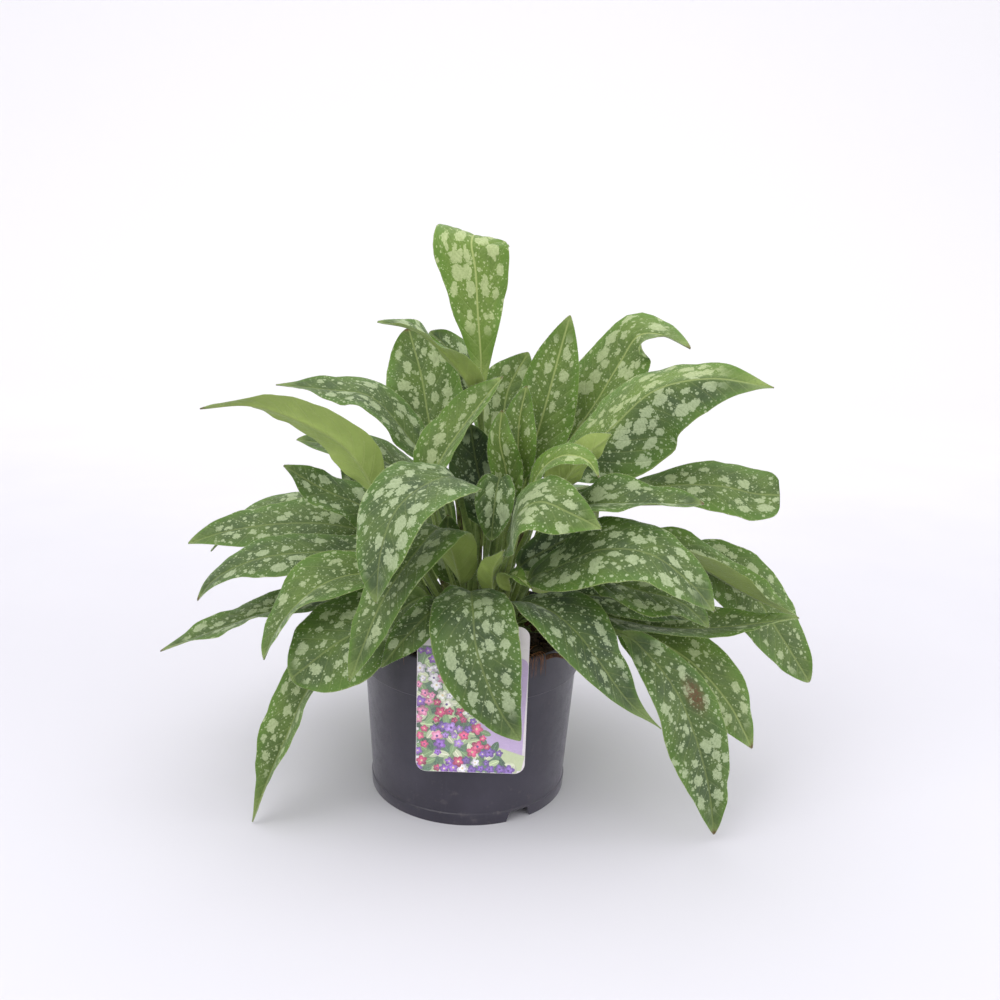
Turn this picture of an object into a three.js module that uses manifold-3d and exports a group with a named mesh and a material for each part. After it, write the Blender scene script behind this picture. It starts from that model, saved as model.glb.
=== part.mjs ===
// A spotted-leaf lungwort in its nursery pot, with a stick-in picture label.
// Millimetres, +Z up. The origin is the centre of the pot's underside, and the label faces -Y.

import * as THREE from "three";
import { mergeVertices } from "three/addons/utils/BufferGeometryUtils.js";
import Module from "manifold-3d";

const wasm = await Module();
wasm.setup();

// Pot
const POT_HEIGHT = 150;
const COLLAR_RADIUS = 95;
const COLLAR_HEIGHT = 36;
const COLLAR_PROUD = 2.4;
const BASE_RADIUS = 84.6;
const WALL = 1.5;
const SKIRT_HEIGHT = 10;
const SKIRT_PROUD = 1;
const FLOOR_Z = 8.5;
const PAD_RADIUS = 14;
const POT_SEGMENTS = 40;
const NOTCH_COUNT = 3;
const FIRST_NOTCH_DEGREES = -58;
const NOTCH_WIDTH_LOW = 24;
const NOTCH_WIDTH_HIGH = 18;
const NOTCH_TOP = 9.5;
const DRAIN_COUNT = 6;
const DRAIN_RADIUS = 5;
const DRAIN_PITCH_RADIUS = 68;

// Soil and the crown of the plant
const SOIL_TOP = 140;
const SOIL_ROUGHNESS = 2.2;
const SOIL_SEGMENTS = 28;
const CROWN_RADIUS = 40;
const CROWN_HEIGHT = 21;
const CROWN_STEPS = 4;
const CROWN_SEGMENTS = 18;
const CROWN_CENTRE = [5, 2];
const GAP = 0.3;

// Label
const CARD_WIDTH = 88;
const CARD_LOW = 55;
const CARD_HIGH = 182;
const CARD_X = 4;
const CARD_THICKNESS = 0.8;
const CARD_CORNER = 9;
const CARD_Y = -COLLAR_RADIUS - 0.6;
const TAIL_WIDTH = 12;
const TAIL_X = 8;
const TAIL_LOW = 96;
const TAIL_ARCH = 5.2;

// Leaves
const FOOT_Z = 146;
const FOOT_SPACING = 7;
const FOOT_SPREAD = 4.3;
const PETIOLE_STATIONS = 3;
const BLADE_STATIONS = 9;
const SMALL_BLADE_STATIONS = 7;
const SMALL_WIDTH = 43;
const COLUMNS = [-1, -0.5, 0, 0.5, 1];
const PETIOLE_HALF_WIDTH = 1.9;
const NECK_HALF_WIDTH = 2.8;
const PETIOLE_FOLD = 25;
const TIP_HALF_WIDTH = 0.5;
const BLADE_THICKNESS = 0.8;
const RIB_THICKNESS = [3.2, 2, 0.8];
const GOLDEN_ANGLE = 2.4;
const HOLE_RADIUS = 3.4;
const HOLE_SIDES = 6;
const HOLE_LENGTH = 60;

// Every leaf that shows: the way it points in degrees from +X, its width, the fold of its two
// halves, its roll from base to tip, and the midrib from the foot of the blade to its tip.
const LEAVES = [
  { name: "leaf_front_centre", heading: -85, width: 65, fold: 10, belly: 0.42,
    midrib: [[0, -50, 193], [3, -98, 194], [7, -118, 171], [24, -126, 129], [43, -124, 99]] },
  { name: "leaf_low_left_broad", heading: -150, width: 80, fold: 8, roll: [-30, -30], belly: 0.55,
    blunt: 0.7,
    midrib: [[-37, -42, 184], [-63, -70, 178], [-100, -88, 163], [-140, -94, 131]] },
  { name: "leaf_low_left_hanging", heading: -165, width: 57, fold: 38, roll: [-25, -25], belly: 0.4,
    blunt: 1.1,
    midrib: [[-80, -40, 160], [-103, -52, 143], [-130, -72, 113], [-147, -86, 74], [-163, -92, 34],
      [-174, -94, 2]] },
  { name: "leaf_left_arching", heading: 175, width: 58, fold: 24, roll: [-28, -25],
    midrib: [[-70, -36, 198], [-99, -53, 205], [-123, -65, 198], [-142, -74, 182], [-156, -80, 161],
      [-164, -82, 141]] },
  { name: "leaf_left_low_narrow", heading: 175, width: 42, fold: 24, roll: [-15, -10],
    midrib: [[-107, -8, 170], [-143, -18, 166], [-187, -26, 155], [-228, -30, 139], [-263, -32, 124]] },
  { name: "leaf_left_mid_lower", heading: 178, width: 43, fold: 10, roll: [-30, -30],
    midrib: [[-75, -12, 210], [-120, -21, 214], [-177, -30, 209], [-213, -36, 192], [-228, -38, 173]] },
  { name: "leaf_left_mid_upper", heading: 178, width: 50, fold: 10, roll: [-36, -36],
    midrib: [[-72, 16, 211], [-117, 16, 226], [-167, 13, 227], [-213, 8, 220], [-246, 4, 209]] },
  { name: "leaf_left_mid_back", heading: 170, width: 42, fold: 10, roll: [-15, -15],
    midrib: [[-69, 62, 205], [-120, 68, 224], [-170, 66, 231], [-210, 60, 217], [-240, 52, 187]] },
  { name: "leaf_left_young", heading: 170, width: 24, fold: 40, roll: [-20, -20], wave: 1,
    midrib: [[-78, 46, 200], [-102, 50, 218], [-123, 48, 230], [-143, 46, 235]] },
  { name: "leaf_left_toothed", heading: 165, width: 36, fold: 8, roll: [-35, -35], wave: 4,
    midrib: [[-68, 2, 228], [-95, -2, 249], [-126, -8, 264], [-158, -18, 286]] },
  { name: "leaf_left_short", heading: 150, width: 34, fold: 10, roll: [-35, -35], wave: 3,
    midrib: [[-61, 24, 222], [-85, 28, 244], [-105, 30, 262], [-118, 28, 278]] },
  { name: "leaf_left_high_front", heading: 195, width: 43, fold: 20, roll: [72, 10], belly: 0.42,
    midrib: [[-80, -30, 269], [-90, -37, 291], [-105, -45, 312], [-137, -52, 331], [-175, -56, 343],
      [-214, -58, 339]] },
  { name: "leaf_left_high_back", heading: 172, width: 50, roll: [-20, -20], blunt: 1.1,
    midrib: [[-35, 26, 272], [-57, 32, 300], [-93, 38, 336], [-131, 38, 341], [-173, 30, 345]] },
  { name: "leaf_left_high_hidden", heading: 165, width: 50, fold: 10, roll: [-20, -20],
    midrib: [[-44, 60, 246], [-75, 68, 268], [-116, 70, 283], [-163, 66, 290]] },
  { name: "leaf_upper_left_broad", heading: 95, width: 66, fold: 10, wave: 2, belly: 0.52, blunt: 0.7,
    midrib: [[-32, 54, 274], [-44, 64, 310], [-53, 78, 350], [-66, 92, 390]] },
  { name: "leaf_top_left_arching", heading: 190, width: 36, fold: 20, roll: [45, -25],
    midrib: [[0, 22, 337], [-14, 9, 364], [-32, -4, 385], [-53, -20, 402], [-80, -28, 407]] },
  { name: "leaf_top_left_back", heading: 100, width: 46, fold: 12, belly: 0.5,
    midrib: [[-10, 84, 305], [-18, 96, 335], [-29, 112, 367], [-49, 120, 384]] },
  { name: "leaf_tall_top", heading: 90, width: 62, fold: 8, roll: [0, 16], belly: 0.8, blunt: 0.85,
    midrib: [[2, 34, 342], [1, 37, 369], [-3, 40, 411], [-6, 42, 446], [-10, 46, 467], [-8, 60, 474],
      [-4, 74, 467]] },
  { name: "leaf_centre_rising", heading: 30, width: 54, fold: 35, roll: [10, 10], wave: 1.5,
    belly: 0.4,
    midrib: [[-37, -14, 267], [-31, -12, 290], [-12, -8, 321], [5, -4, 344], [20, 0, 363]] },
  { name: "leaf_front_left_large", heading: -140, width: 70, fold: 12, roll: [-10, -10],
    petiole: [[-1, -10, 220], [-10, -18, 257]],
    midrib: [[-12, -32, 274], [-16, -54, 290], [-34, -86, 293], [-56, -114, 278], [-65, -132, 251],
      [-67, -140, 214]] },
  { name: "leaf_centre_cupped", heading: -90, width: 39, fold: 40, wave: 1.5,
    midrib: [[20, -24, 283], [17, -41, 269], [15, -56, 239]] },
  { name: "leaf_centre_right_front", heading: -35, width: 60, fold: 6, roll: [38, 38], wave: 2,
    belly: 0.38,
    midrib: [[29, -60, 235], [36, -80, 270], [52, -94, 283], [74, -102, 277], [98, -104, 266]] },
  { name: "leaf_centre_right_dark", heading: -10, width: 32, fold: 10, roll: [62, 62], belly: 0.5,
    midrib: [[39, -31, 209], [61, -42, 229], [88, -48, 246], [111, -52, 253]] },
  { name: "leaf_centre_young_pale", heading: -60, width: 20, fold: 30, wave: 1,
    midrib: [[15, -50, 193], [17, -68, 221], [25, -84, 240]] },
  { name: "leaf_centre_young_small", heading: -40, width: 16, fold: 30, wave: 1,
    midrib: [[30, -50, 196], [29, -58, 210], [36, -66, 213], [49, -72, 205]] },
  { name: "leaf_centre_dark", heading: 100, width: 50, fold: 18, belly: 0.5,
    midrib: [[16, 8, 229], [7, 8, 260], [-1, 10, 291], [-6, 12, 320]] },
  { name: "leaf_centre_bright", heading: 100, width: 30, fold: 35, wave: 1.5,
    midrib: [[28, -6, 260], [25, -10, 287], [19, -12, 312], [20, -6, 336]] },
  { name: "leaf_centre_upright", heading: 85, width: 32, fold: 30, wave: 1.5,
    midrib: [[36, 4, 275], [35, 2, 297], [35, 6, 326], [40, 12, 354]] },
  { name: "leaf_right_upright", heading: 80, width: 50, fold: 10, wave: 2,
    midrib: [[41, 20, 262], [45, 24, 286], [57, 30, 334], [68, 36, 382], [75, 38, 411]] },
  { name: "leaf_right_upright_back", heading: 80, width: 54, fold: 10,
    midrib: [[27, 58, 289], [22, 64, 310], [25, 76, 340], [42, 90, 372]] },
  { name: "leaf_right_high_curled", heading: 20, width: 72, roll: [25, 25],
    midrib: [[62, 32, 269], [69, 37, 286], [101, 46, 336], [121, 50, 372], [135, 48, 395],
      [154, 38, 397], [176, 24, 388]] },
  { name: "leaf_right_high_large", heading: 5, width: 84, fold: -26, roll: [44, 44], belly: 0.38,
    blunt: 1,
    midrib: [[67, -14, 282], [79, -16, 300], [107, -20, 325], [141, -23, 359], [183, -27, 371],
      [235, -32, 366]] },
  { name: "leaf_right_mid_rounded", heading: 0, width: 56, fold: 8, roll: [15, 45], belly: 0.84,
    blunt: 0.95,
    midrib: [[85, 6, 245], [122, 2, 267], [161, -2, 276], [206, -6, 278], [234, -8, 273],
      [254, -10, 273]] },
  { name: "leaf_right_mid_front", heading: -5, width: 58, fold: 28, roll: [12, 12],
    midrib: [[71, -24, 252], [93, -46, 269], [131, -60, 275], [180, -70, 279]] },
  { name: "leaf_right_young_curled", heading: -10, width: 26, roll: [20, 20], wave: 1,
    midrib: [[45, -39, 278], [56, -50, 301], [72, -68, 314], [87, -77, 312], [96, -81, 300]] },
  { name: "leaf_right_pale_back", heading: 10, width: 34, fold: 20, roll: [-70, -70],
    midrib: [[64, -30, 268], [75, -41, 294], [89, -46, 312], [107, -46, 327]] },
  { name: "leaf_low_right_front", heading: -15, width: 66, fold: 8, roll: [30, 30],
    midrib: [[47, -54, 206], [67, -68, 222], [100, -89, 245], [136, -102, 247], [167, -108, 227],
      [187, -110, 205]] },
  { name: "leaf_low_right_dark", heading: -5, width: 36, fold: 10, roll: [30, 30],
    midrib: [[74, -26, 181], [107, -33, 187], [144, -40, 183], [181, -44, 172]] },
  { name: "leaf_low_right_pointed", heading: -10, width: 44, fold: 10, roll: [25, 25],
    midrib: [[96, -58, 209], [134, -72, 207], [166, -80, 201], [189, -86, 183]] },
  { name: "leaf_right_low_folded", heading: -5, width: 60, fold: 42,
    midrib: [[120, -8, 221], [161, -14, 221], [192, -20, 211], [229, -26, 192], [275, -30, 172]] },
  { name: "leaf_right_low_long", heading: -2, width: 48, fold: 24, roll: [12, 12],
    midrib: [[95, -28, 173], [113, -34, 170], [158, -40, 164], [207, -44, 167], [270, -48, 179]] },
  { name: "leaf_right_far_drooping", heading: -40, width: 55, fold: 8, roll: [35, 25], belly: 0.52,
    blunt: 0.75,
    midrib: [[154, 12, 194], [195, 8, 209], [238, 2, 186], [269, -2, 145], [298, -4, 103]] },
  { name: "leaf_right_hanging_back", heading: -25, width: 58, fold: 8, roll: [35, 35],
    midrib: [[118, -14, 163], [143, -24, 154], [186, -42, 134], [217, -54, 104], [239, -60, 66]] },
  { name: "leaf_right_hanging_front", heading: -40, width: 52, roll: [30, 30], belly: 0.5, blunt: 0.95,
    midrib: [[123, -66, 167], [145, -80, 154], [166, -90, 130], [182, -96, 97], [197, -98, 51],
      [205, -98, 7]] },
  { name: "leaf_front_right", heading: -50, width: 60, fold: 20, roll: [8, 8], belly: 0.32,
    blunt: 1.25,
    midrib: [[39, -55, 187], [63, -81, 191], [85, -99, 179], [102, -108, 160], [127, -111, 128],
      [153, -112, 107]] },
  { name: "leaf_front_left_hanging", heading: -120, width: 52, belly: 0.42,
    midrib: [[-8, -28, 193], [-25, -56, 248], [-45, -94, 236], [-66, -116, 206], [-80, -124, 170],
      [-89, -126, 145]] },
  { name: "leaf_front_left_dark", heading: -130, width: 28, fold: 8, roll: [-20, -20],
    midrib: [[-17, -60, 185], [-29, -88, 190], [-49, -105, 173], [-66, -114, 152]] },
  { name: "leaf_back_high_right", heading: 60, width: 58,
    midrib: [[25, 45, 215], [60, 110, 245], [95, 175, 215], [120, 225, 150]] },
  { name: "leaf_back_high_centre", heading: 90, width: 60,
    midrib: [[9, 50, 226], [5, 120, 252], [0, 188, 214], [-5, 228, 130]] },
  { name: "leaf_back_high_left", heading: 120, width: 56,
    midrib: [[-24, 54, 196], [-60, 112, 238], [-95, 165, 205], [-125, 215, 140]] },
  { name: "leaf_back_side_right", heading: 36, width: 56,
    midrib: [[50, 35, 192], [110, 80, 212], [165, 125, 182], [200, 160, 120]] },
  { name: "leaf_back_side_left", heading: 145, width: 56,
    midrib: [[-32, 58, 182], [-86, 112, 202], [-142, 150, 176], [-180, 176, 115]] },
  { name: "leaf_back_low_right", heading: 72, width: 60,
    midrib: [[22, 62, 172], [46, 120, 184], [62, 172, 150], [70, 206, 86]] },
  { name: "leaf_back_low_left", heading: 106, width: 60,
    midrib: [[-12, 62, 172], [-34, 125, 184], [-50, 178, 150], [-58, 212, 86]] },
  { name: "leaf_back_low_centre", heading: 90, width: 58,
    midrib: [[4, 66, 163], [6, 118, 165], [4, 165, 128], [2, 196, 72]] },
  { name: "leaf_centre_left_short", heading: 110, width: 30, fold: 10, wave: 1,
    midrib: [[-17, 7, 181], [-22, 6, 201], [-23, 6, 221], [-23, 6, 242]] },
];

const LEAF_DEFAULTS = {
  fold: 14,
  roll: [0, 0],
  wave: 2.5,
  waves: 2,
  belly: 0.45,
  blunt: 0.8,
  curl: 0.15,
  petiole: [],
};

const radians = THREE.MathUtils.degToRad;

// Solids

function solid(geometry) {
  const bare = geometry.clone();
  bare.deleteAttribute("normal");
  bare.deleteAttribute("uv");
  const merged = mergeVertices(bare, 1e-3);
  const vertProperties = new Float32Array(merged.attributes.position.array);
  const triVerts = new Uint32Array(merged.index.array);
  return new wasm.Manifold(new wasm.Mesh({ numProp: 3, vertProperties, triVerts }));
}

function geometryOf(body) {
  const mesh = body.getMesh();
  const geometry = new THREE.BufferGeometry();
  geometry.setAttribute("position", new THREE.BufferAttribute(mesh.vertProperties, 3));
  geometry.setIndex(new THREE.BufferAttribute(mesh.triVerts, 1));
  geometry.computeVertexNormals();
  return geometry;
}

function largestPiece(body) {
  const pieces = body.decompose();
  return pieces.reduce((best, piece) => (piece.volume() > best.volume() ? piece : best));
}

function turned(profile, segments) {
  const points = profile.map(([radius, z]) => new THREE.Vector2(radius, z));
  const geometry = new THREE.LatheGeometry(points, segments);
  geometry.rotateX(Math.PI / 2);
  return geometry;
}

// Pot

const wallTopRadius = COLLAR_RADIUS - COLLAR_PROUD - 0.6;
const collarBase = POT_HEIGHT - COLLAR_HEIGHT;
const floorTop = FLOOR_Z + WALL;

function innerRadius(z) {
  const low = BASE_RADIUS - WALL;
  const high = wallTopRadius - WALL;
  return low + ((high - low) * (z - floorTop)) / (collarBase - floorTop);
}

function potGeometry() {
  const profile = [
    [0, 0],
    [PAD_RADIUS, 0],
    [PAD_RADIUS + 1, FLOOR_Z],
    [BASE_RADIUS - WALL - 0.8, FLOOR_Z],
    [BASE_RADIUS - WALL, 0],
    [BASE_RADIUS + SKIRT_PROUD, 0],
    [BASE_RADIUS + SKIRT_PROUD + 0.6, SKIRT_HEIGHT],
    [BASE_RADIUS + 0.6, SKIRT_HEIGHT + 0.8],
    [wallTopRadius, collarBase],
    [wallTopRadius + COLLAR_PROUD, collarBase + 1],
    [COLLAR_RADIUS, POT_HEIGHT - 1.2],
    [COLLAR_RADIUS - 0.8, POT_HEIGHT],
    [COLLAR_RADIUS - 2.2, POT_HEIGHT],
    [wallTopRadius + COLLAR_PROUD - WALL - 0.6, collarBase + 3.6],
    [innerRadius(collarBase), collarBase],
    [innerRadius(floorTop), floorTop],
    [0, floorTop],
  ];
  let pot = solid(turned(profile, POT_SEGMENTS));
  for (let index = 0; index < NOTCH_COUNT; index += 1) {
    const angle = radians(FIRST_NOTCH_DEGREES + (360 / NOTCH_COUNT) * index);
    pot = pot.subtract(solid(notchCutter(angle)));
  }
  for (let index = 0; index < DRAIN_COUNT; index += 1) {
    const angle = radians(FIRST_NOTCH_DEGREES + (360 / DRAIN_COUNT) * index);
    pot = pot.subtract(solid(drainCutter(angle)));
  }
  return geometryOf(pot);
}

// A trapezoid cut through the foot skirt, narrower at its top.
function notchCutter(angle) {
  const outline = new THREE.Shape();
  outline.moveTo(-NOTCH_WIDTH_LOW / 2, -1);
  outline.lineTo(NOTCH_WIDTH_LOW / 2, -1);
  outline.lineTo(NOTCH_WIDTH_HIGH / 2, NOTCH_TOP);
  outline.lineTo(-NOTCH_WIDTH_HIGH / 2, NOTCH_TOP);
  const depth = 12;
  const geometry = new THREE.ExtrudeGeometry(outline, { depth, bevelEnabled: false });
  geometry.rotateX(Math.PI / 2);
  geometry.rotateZ(Math.PI / 2);
  geometry.translate(BASE_RADIUS - 8, 0, 0);
  geometry.rotateZ(angle);
  return geometry;
}

function drainCutter(angle) {
  const geometry = new THREE.CylinderGeometry(DRAIN_RADIUS, DRAIN_RADIUS, 3 * WALL, 12);
  geometry.rotateX(Math.PI / 2);
  geometry.translate(DRAIN_PITCH_RADIUS, 0, FLOOR_Z + WALL / 2);
  geometry.rotateZ(angle);
  return geometry;
}

// Soil, uneven between the crown and the wall, with a plain slot for the label's tail

function soilGeometry() {
  const low = floorTop + GAP;
  const play = 2 * GAP;
  const rim = innerRadius(collarBase) - play;
  const flat = CROWN_RADIUS + 8;
  const profile = [
    [0, low],
    [innerRadius(low) - play, low],
    [rim, collarBase],
    [rim, SOIL_TOP - 3],
    [rim - 7, SOIL_TOP],
    [rim - 18, SOIL_TOP],
    [rim - 30, SOIL_TOP],
    [flat, SOIL_TOP],
    [0, SOIL_TOP],
  ];
  const geometry = turned(profile, SOIL_SEGMENTS);
  const position = geometry.attributes.position;
  for (let index = 0; index < position.count; index += 1) {
    const x = position.getX(index);
    const y = position.getY(index);
    const radius = Math.hypot(x, y);
    if (position.getZ(index) > SOIL_TOP - 0.5 && radius > flat + 1) {
      position.setZ(index, SOIL_TOP + SOIL_ROUGHNESS * Math.sin(x * 0.21 + 1) * Math.cos(y * 0.17));
    }
  }
  const slot = tailGeometry(TAIL_WIDTH + 2 * GAP, GAP);
  return geometryOf(solid(geometry).subtract(solid(slot)));
}

// Label: a rounded card that stands before the pot, and a tail over the rim into the soil

function cardGeometry() {
  const half = CARD_WIDTH / 2;
  const round = CARD_CORNER;
  const outline = new THREE.Shape();
  outline.moveTo(-half + round, CARD_LOW);
  outline.lineTo(half - round, CARD_LOW);
  outline.absarc(half - round, CARD_LOW + round, round, -Math.PI / 2, 0);
  outline.lineTo(half, CARD_HIGH - round);
  outline.absarc(half - round, CARD_HIGH - round, round, 0, Math.PI / 2);
  outline.lineTo(-half + round, CARD_HIGH);
  outline.absarc(-half + round, CARD_HIGH - round, round, Math.PI / 2, Math.PI);
  outline.lineTo(-half, CARD_LOW + round);
  outline.absarc(-half + round, CARD_LOW + round, round, Math.PI, 1.5 * Math.PI);
  const options = { depth: CARD_THICKNESS, bevelEnabled: false, curveSegments: 6 };
  const geometry = new THREE.ExtrudeGeometry(outline, options);
  geometry.rotateX(Math.PI / 2);
  geometry.translate(CARD_X, CARD_Y, 0);
  return geometry;
}

// The tail's side view is a hairpin: up from the card's top, over an arch, and down into the soil.
function tailGeometry(width, grow) {
  const outer = TAIL_ARCH + grow;
  const inner = TAIL_ARCH - CARD_THICKNESS - grow;
  const low = TAIL_LOW - grow;
  const side = new THREE.Shape();
  side.moveTo(-outer, CARD_HIGH - 6);
  side.lineTo(-outer, CARD_HIGH);
  side.absarc(0, CARD_HIGH, outer, Math.PI, 0, true);
  side.lineTo(outer, low);
  side.lineTo(inner, low);
  side.lineTo(inner, CARD_HIGH);
  side.absarc(0, CARD_HIGH, inner, 0, Math.PI, false);
  side.lineTo(-inner, CARD_HIGH - 6);
  const options = { depth: width, bevelEnabled: false, curveSegments: 8 };
  const geometry = new THREE.ExtrudeGeometry(side, options);
  geometry.rotateX(Math.PI / 2);
  geometry.rotateZ(Math.PI / 2);
  geometry.translate(TAIL_X - width / 2, CARD_Y - CARD_THICKNESS + TAIL_ARCH, 0);
  return geometry;
}

function labelGeometry() {
  return geometryOf(solid(cardGeometry()).add(solid(tailGeometry(TAIL_WIDTH, 0))));
}

// Leaf feet: each leaf is rooted on its own side of the crown, the more upright ones nearer the
// middle, and the feet are then pushed apart until all have room.
function leafFeet(leaves) {
  const necks = leaves.map((leaf) => leaf.petiole[0] ?? leaf.midrib[0]);
  const aims = necks.map(([x, y]) => Math.atan2(y - CROWN_CENTRE[1], x - CROWN_CENTRE[0]));
  const leans = necks.map(([x, y, z]) => {
    const reach = Math.hypot(x - CROWN_CENTRE[0], y - CROWN_CENTRE[1]);
    return Math.atan2(reach, Math.max(z - FOOT_Z, 1));
  });
  const order = leans.map((lean, index) => index).sort((a, b) => leans[a] - leans[b]);
  const feet = [];
  order.forEach((leafIndex, rank) => {
    const radius = FOOT_SPREAD * Math.sqrt(rank + 0.4);
    const aim = aims[leafIndex];
    feet[leafIndex] = new THREE.Vector3(radius * Math.cos(aim), radius * Math.sin(aim), FOOT_Z);
  });
  for (let round = 0; round < 120; round += 1) {
    feet.forEach((foot, index) => {
      feet.slice(0, index).forEach((other) => pushApart(foot, other));
    });
  }
  feet.forEach((foot) => foot.add(new THREE.Vector3(CROWN_CENTRE[0], CROWN_CENTRE[1], 0)));
  return feet;
}

function pushApart(foot, other) {
  const between = foot.clone().sub(other);
  const distance = between.length();
  if (distance < FOOT_SPACING) {
    between.multiplyScalar((0.3 * (FOOT_SPACING - distance)) / Math.max(distance, 1e-6));
    foot.add(between);
    other.sub(between);
  }
}

// Leaf: a ring of points is carried along the petiole and the midrib. Each ring has a top row and
// a bottom row of points, folded at the midrib and waved towards the margins.
function leafRings(leaf, foot, index) {
  const path = [...leaf.petiole, ...leaf.midrib];
  const points = [foot, ...path.map(([x, y, z]) => new THREE.Vector3(x, y, z))];
  const curve = new THREE.CatmullRomCurve3(points, false, "centripetal");
  curve.arcLengthDivisions = 400;
  const lengths = curve.getLengths();
  const neckSpan = (leaf.petiole.length + 1) / (points.length - 1);
  const neck = lengths[Math.round(400 * neckSpan)] / lengths[400];
  const peak = Math.pow(leaf.belly, bladeRise(leaf)) * Math.pow(1 - leaf.belly, bladeFall(leaf));
  const steps = leaf.width < SMALL_WIDTH ? SMALL_BLADE_STATIONS : BLADE_STATIONS;
  return stations(neck, steps).map(({ along, blade, stalk }) => {
    const centre = curve.getPointAt(along);
    const tangent = curve.getTangentAt(along);
    const frame = leafFrame(leaf, tangent, blade);
    const shape = (Math.pow(blade, bladeRise(leaf)) * Math.pow(1 - blade, bladeFall(leaf))) / peak;
    const section = leafSection(leaf, index, blade, shape, stalk);
    const offset = ([side, up]) =>
      centre.clone().addScaledVector(frame.side, side).addScaledVector(frame.up, up);
    return { centre, tangent, top: section.top.map(offset), bottom: section.bottom.map(offset) };
  });
}

function bladeFall(leaf) {
  return 2 * (1 - leaf.belly) * leaf.blunt;
}

function bladeRise(leaf) {
  return (bladeFall(leaf) * leaf.belly) / (1 - leaf.belly);
}

function stations(neck, steps) {
  const result = [];
  for (let step = 0; step < PETIOLE_STATIONS; step += 1) {
    const stalk = step / PETIOLE_STATIONS;
    result.push({ along: neck * stalk, blade: 0, stalk });
  }
  for (let step = 0; step <= steps; step += 1) {
    const blade = step / steps;
    result.push({ along: neck + (1 - neck) * blade, blade, stalk: 1 });
  }
  return result;
}

function leafFrame(leaf, tangent, blade) {
  const heading = radians(leaf.heading);
  const across = new THREE.Vector3(Math.sin(heading), -Math.cos(heading), 0);
  const roll = radians(leaf.roll[0] + (leaf.roll[1] - leaf.roll[0]) * blade);
  const up = across.cross(tangent).normalize().applyAxisAngle(tangent, roll);
  const side = tangent.clone().cross(up);
  return { up, side };
}

function leafSection(leaf, index, blade, shape, stalk) {
  const open = Math.min(1.6 * shape, 1);
  const neckWidth = THREE.MathUtils.lerp(PETIOLE_HALF_WIDTH, NECK_HALF_WIDTH, stalk);
  const halfWidth = THREE.MathUtils.lerp(neckWidth, TIP_HALF_WIDTH, blade) + (leaf.width / 2) * shape;
  const fold = radians(leaf.fold * open + PETIOLE_FOLD * (1 - open));
  const rib = THREE.MathUtils.lerp(
    THREE.MathUtils.mapLinear(Math.min(blade, 0.3), 0, 0.3, RIB_THICKNESS[0], RIB_THICKNESS[1]),
    RIB_THICKNESS[2],
    Math.max(blade - 0.3, 0) / 0.7,
  );
  const top = COLUMNS.map((column) => {
    const out = Math.abs(column);
    const hand = column > 0 ? 1 : -1;
    const swing = Math.sin(2 * Math.PI * leaf.waves * blade + index * GOLDEN_ANGLE + hand * 1.1);
    const lift = out * halfWidth * Math.sin(fold);
    const droop = leaf.curl * halfWidth * out * out * open;
    return [column * halfWidth * Math.cos(fold), lift - droop + leaf.wave * open * out * out * swing];
  });
  const bottom = top.map(([side, up], place) => {
    const ribShare = Math.pow(1 - Math.abs(COLUMNS[place]), 1.5);
    return [side, up - BLADE_THICKNESS - (rib - BLADE_THICKNESS) * ribShare];
  });
  return { top, bottom };
}

// Rings to a closed skin. Both faces of the blade are split along the same diagonals.
function skin(rings) {
  const width = COLUMNS.length;
  const positions = rings.flatMap((ring) => [...ring.top, ...ring.bottom].flatMap((p) => p.toArray()));
  const top = (ring, column) => ring * 2 * width + column;
  const bottom = (ring, column) => top(ring, column) + width;
  const faces = [];
  const quad = (a, b, c, d) => faces.push(a, b, c, a, c, d);
  for (let ring = 0; ring + 1 < rings.length; ring += 1) {
    for (let column = 0; column + 1 < width; column += 1) {
      quad(top(ring, column), top(ring, column + 1), top(ring + 1, column + 1), top(ring + 1, column));
      faces.push(bottom(ring, column), bottom(ring + 1, column + 1), bottom(ring, column + 1));
      faces.push(bottom(ring, column), bottom(ring + 1, column), bottom(ring + 1, column + 1));
    }
    const last = width - 1;
    quad(top(ring, last), bottom(ring, last), bottom(ring + 1, last), top(ring + 1, last));
    quad(bottom(ring, 0), top(ring, 0), top(ring + 1, 0), bottom(ring + 1, 0));
  }
  const end = rings.length - 1;
  for (let column = 0; column + 1 < width; column += 1) {
    quad(top(0, column), bottom(0, column), bottom(0, column + 1), top(0, column + 1));
    quad(top(end, column), top(end, column + 1), bottom(end, column + 1), bottom(end, column));
  }
  const geometry = new THREE.BufferGeometry();
  geometry.setAttribute("position", new THREE.Float32BufferAttribute(positions, 3));
  geometry.setIndex(faces);
  geometry.computeVertexNormals();
  return geometry;
}

// The plain hole that a petiole stands in, along the petiole's first stretch.
function holeGeometry(rings) {
  const [start, next] = rings.map(ringMiddle);
  const along = next.clone().sub(start).normalize();
  const from = start.clone().addScaledVector(along, -2 * GAP);
  const to = from.clone().addScaledVector(along, HOLE_LENGTH);
  const geometry = new THREE.CylinderGeometry(HOLE_RADIUS, HOLE_RADIUS, HOLE_LENGTH, HOLE_SIDES);
  const turn = new THREE.Quaternion().setFromUnitVectors(new THREE.Vector3(0, 1, 0), along);
  geometry.applyQuaternion(turn);
  const middle = from.add(to).divideScalar(2);
  geometry.translate(middle.x, middle.y, middle.z);
  return geometry;
}

// The middle between a ring's two margins and the underside of its rib.
function ringMiddle(ring) {
  const margins = ring.top[0].clone().lerp(ring.top.at(-1), 0.5);
  return margins.lerp(ring.bottom[(COLUMNS.length - 1) / 2], 0.5);
}

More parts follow.
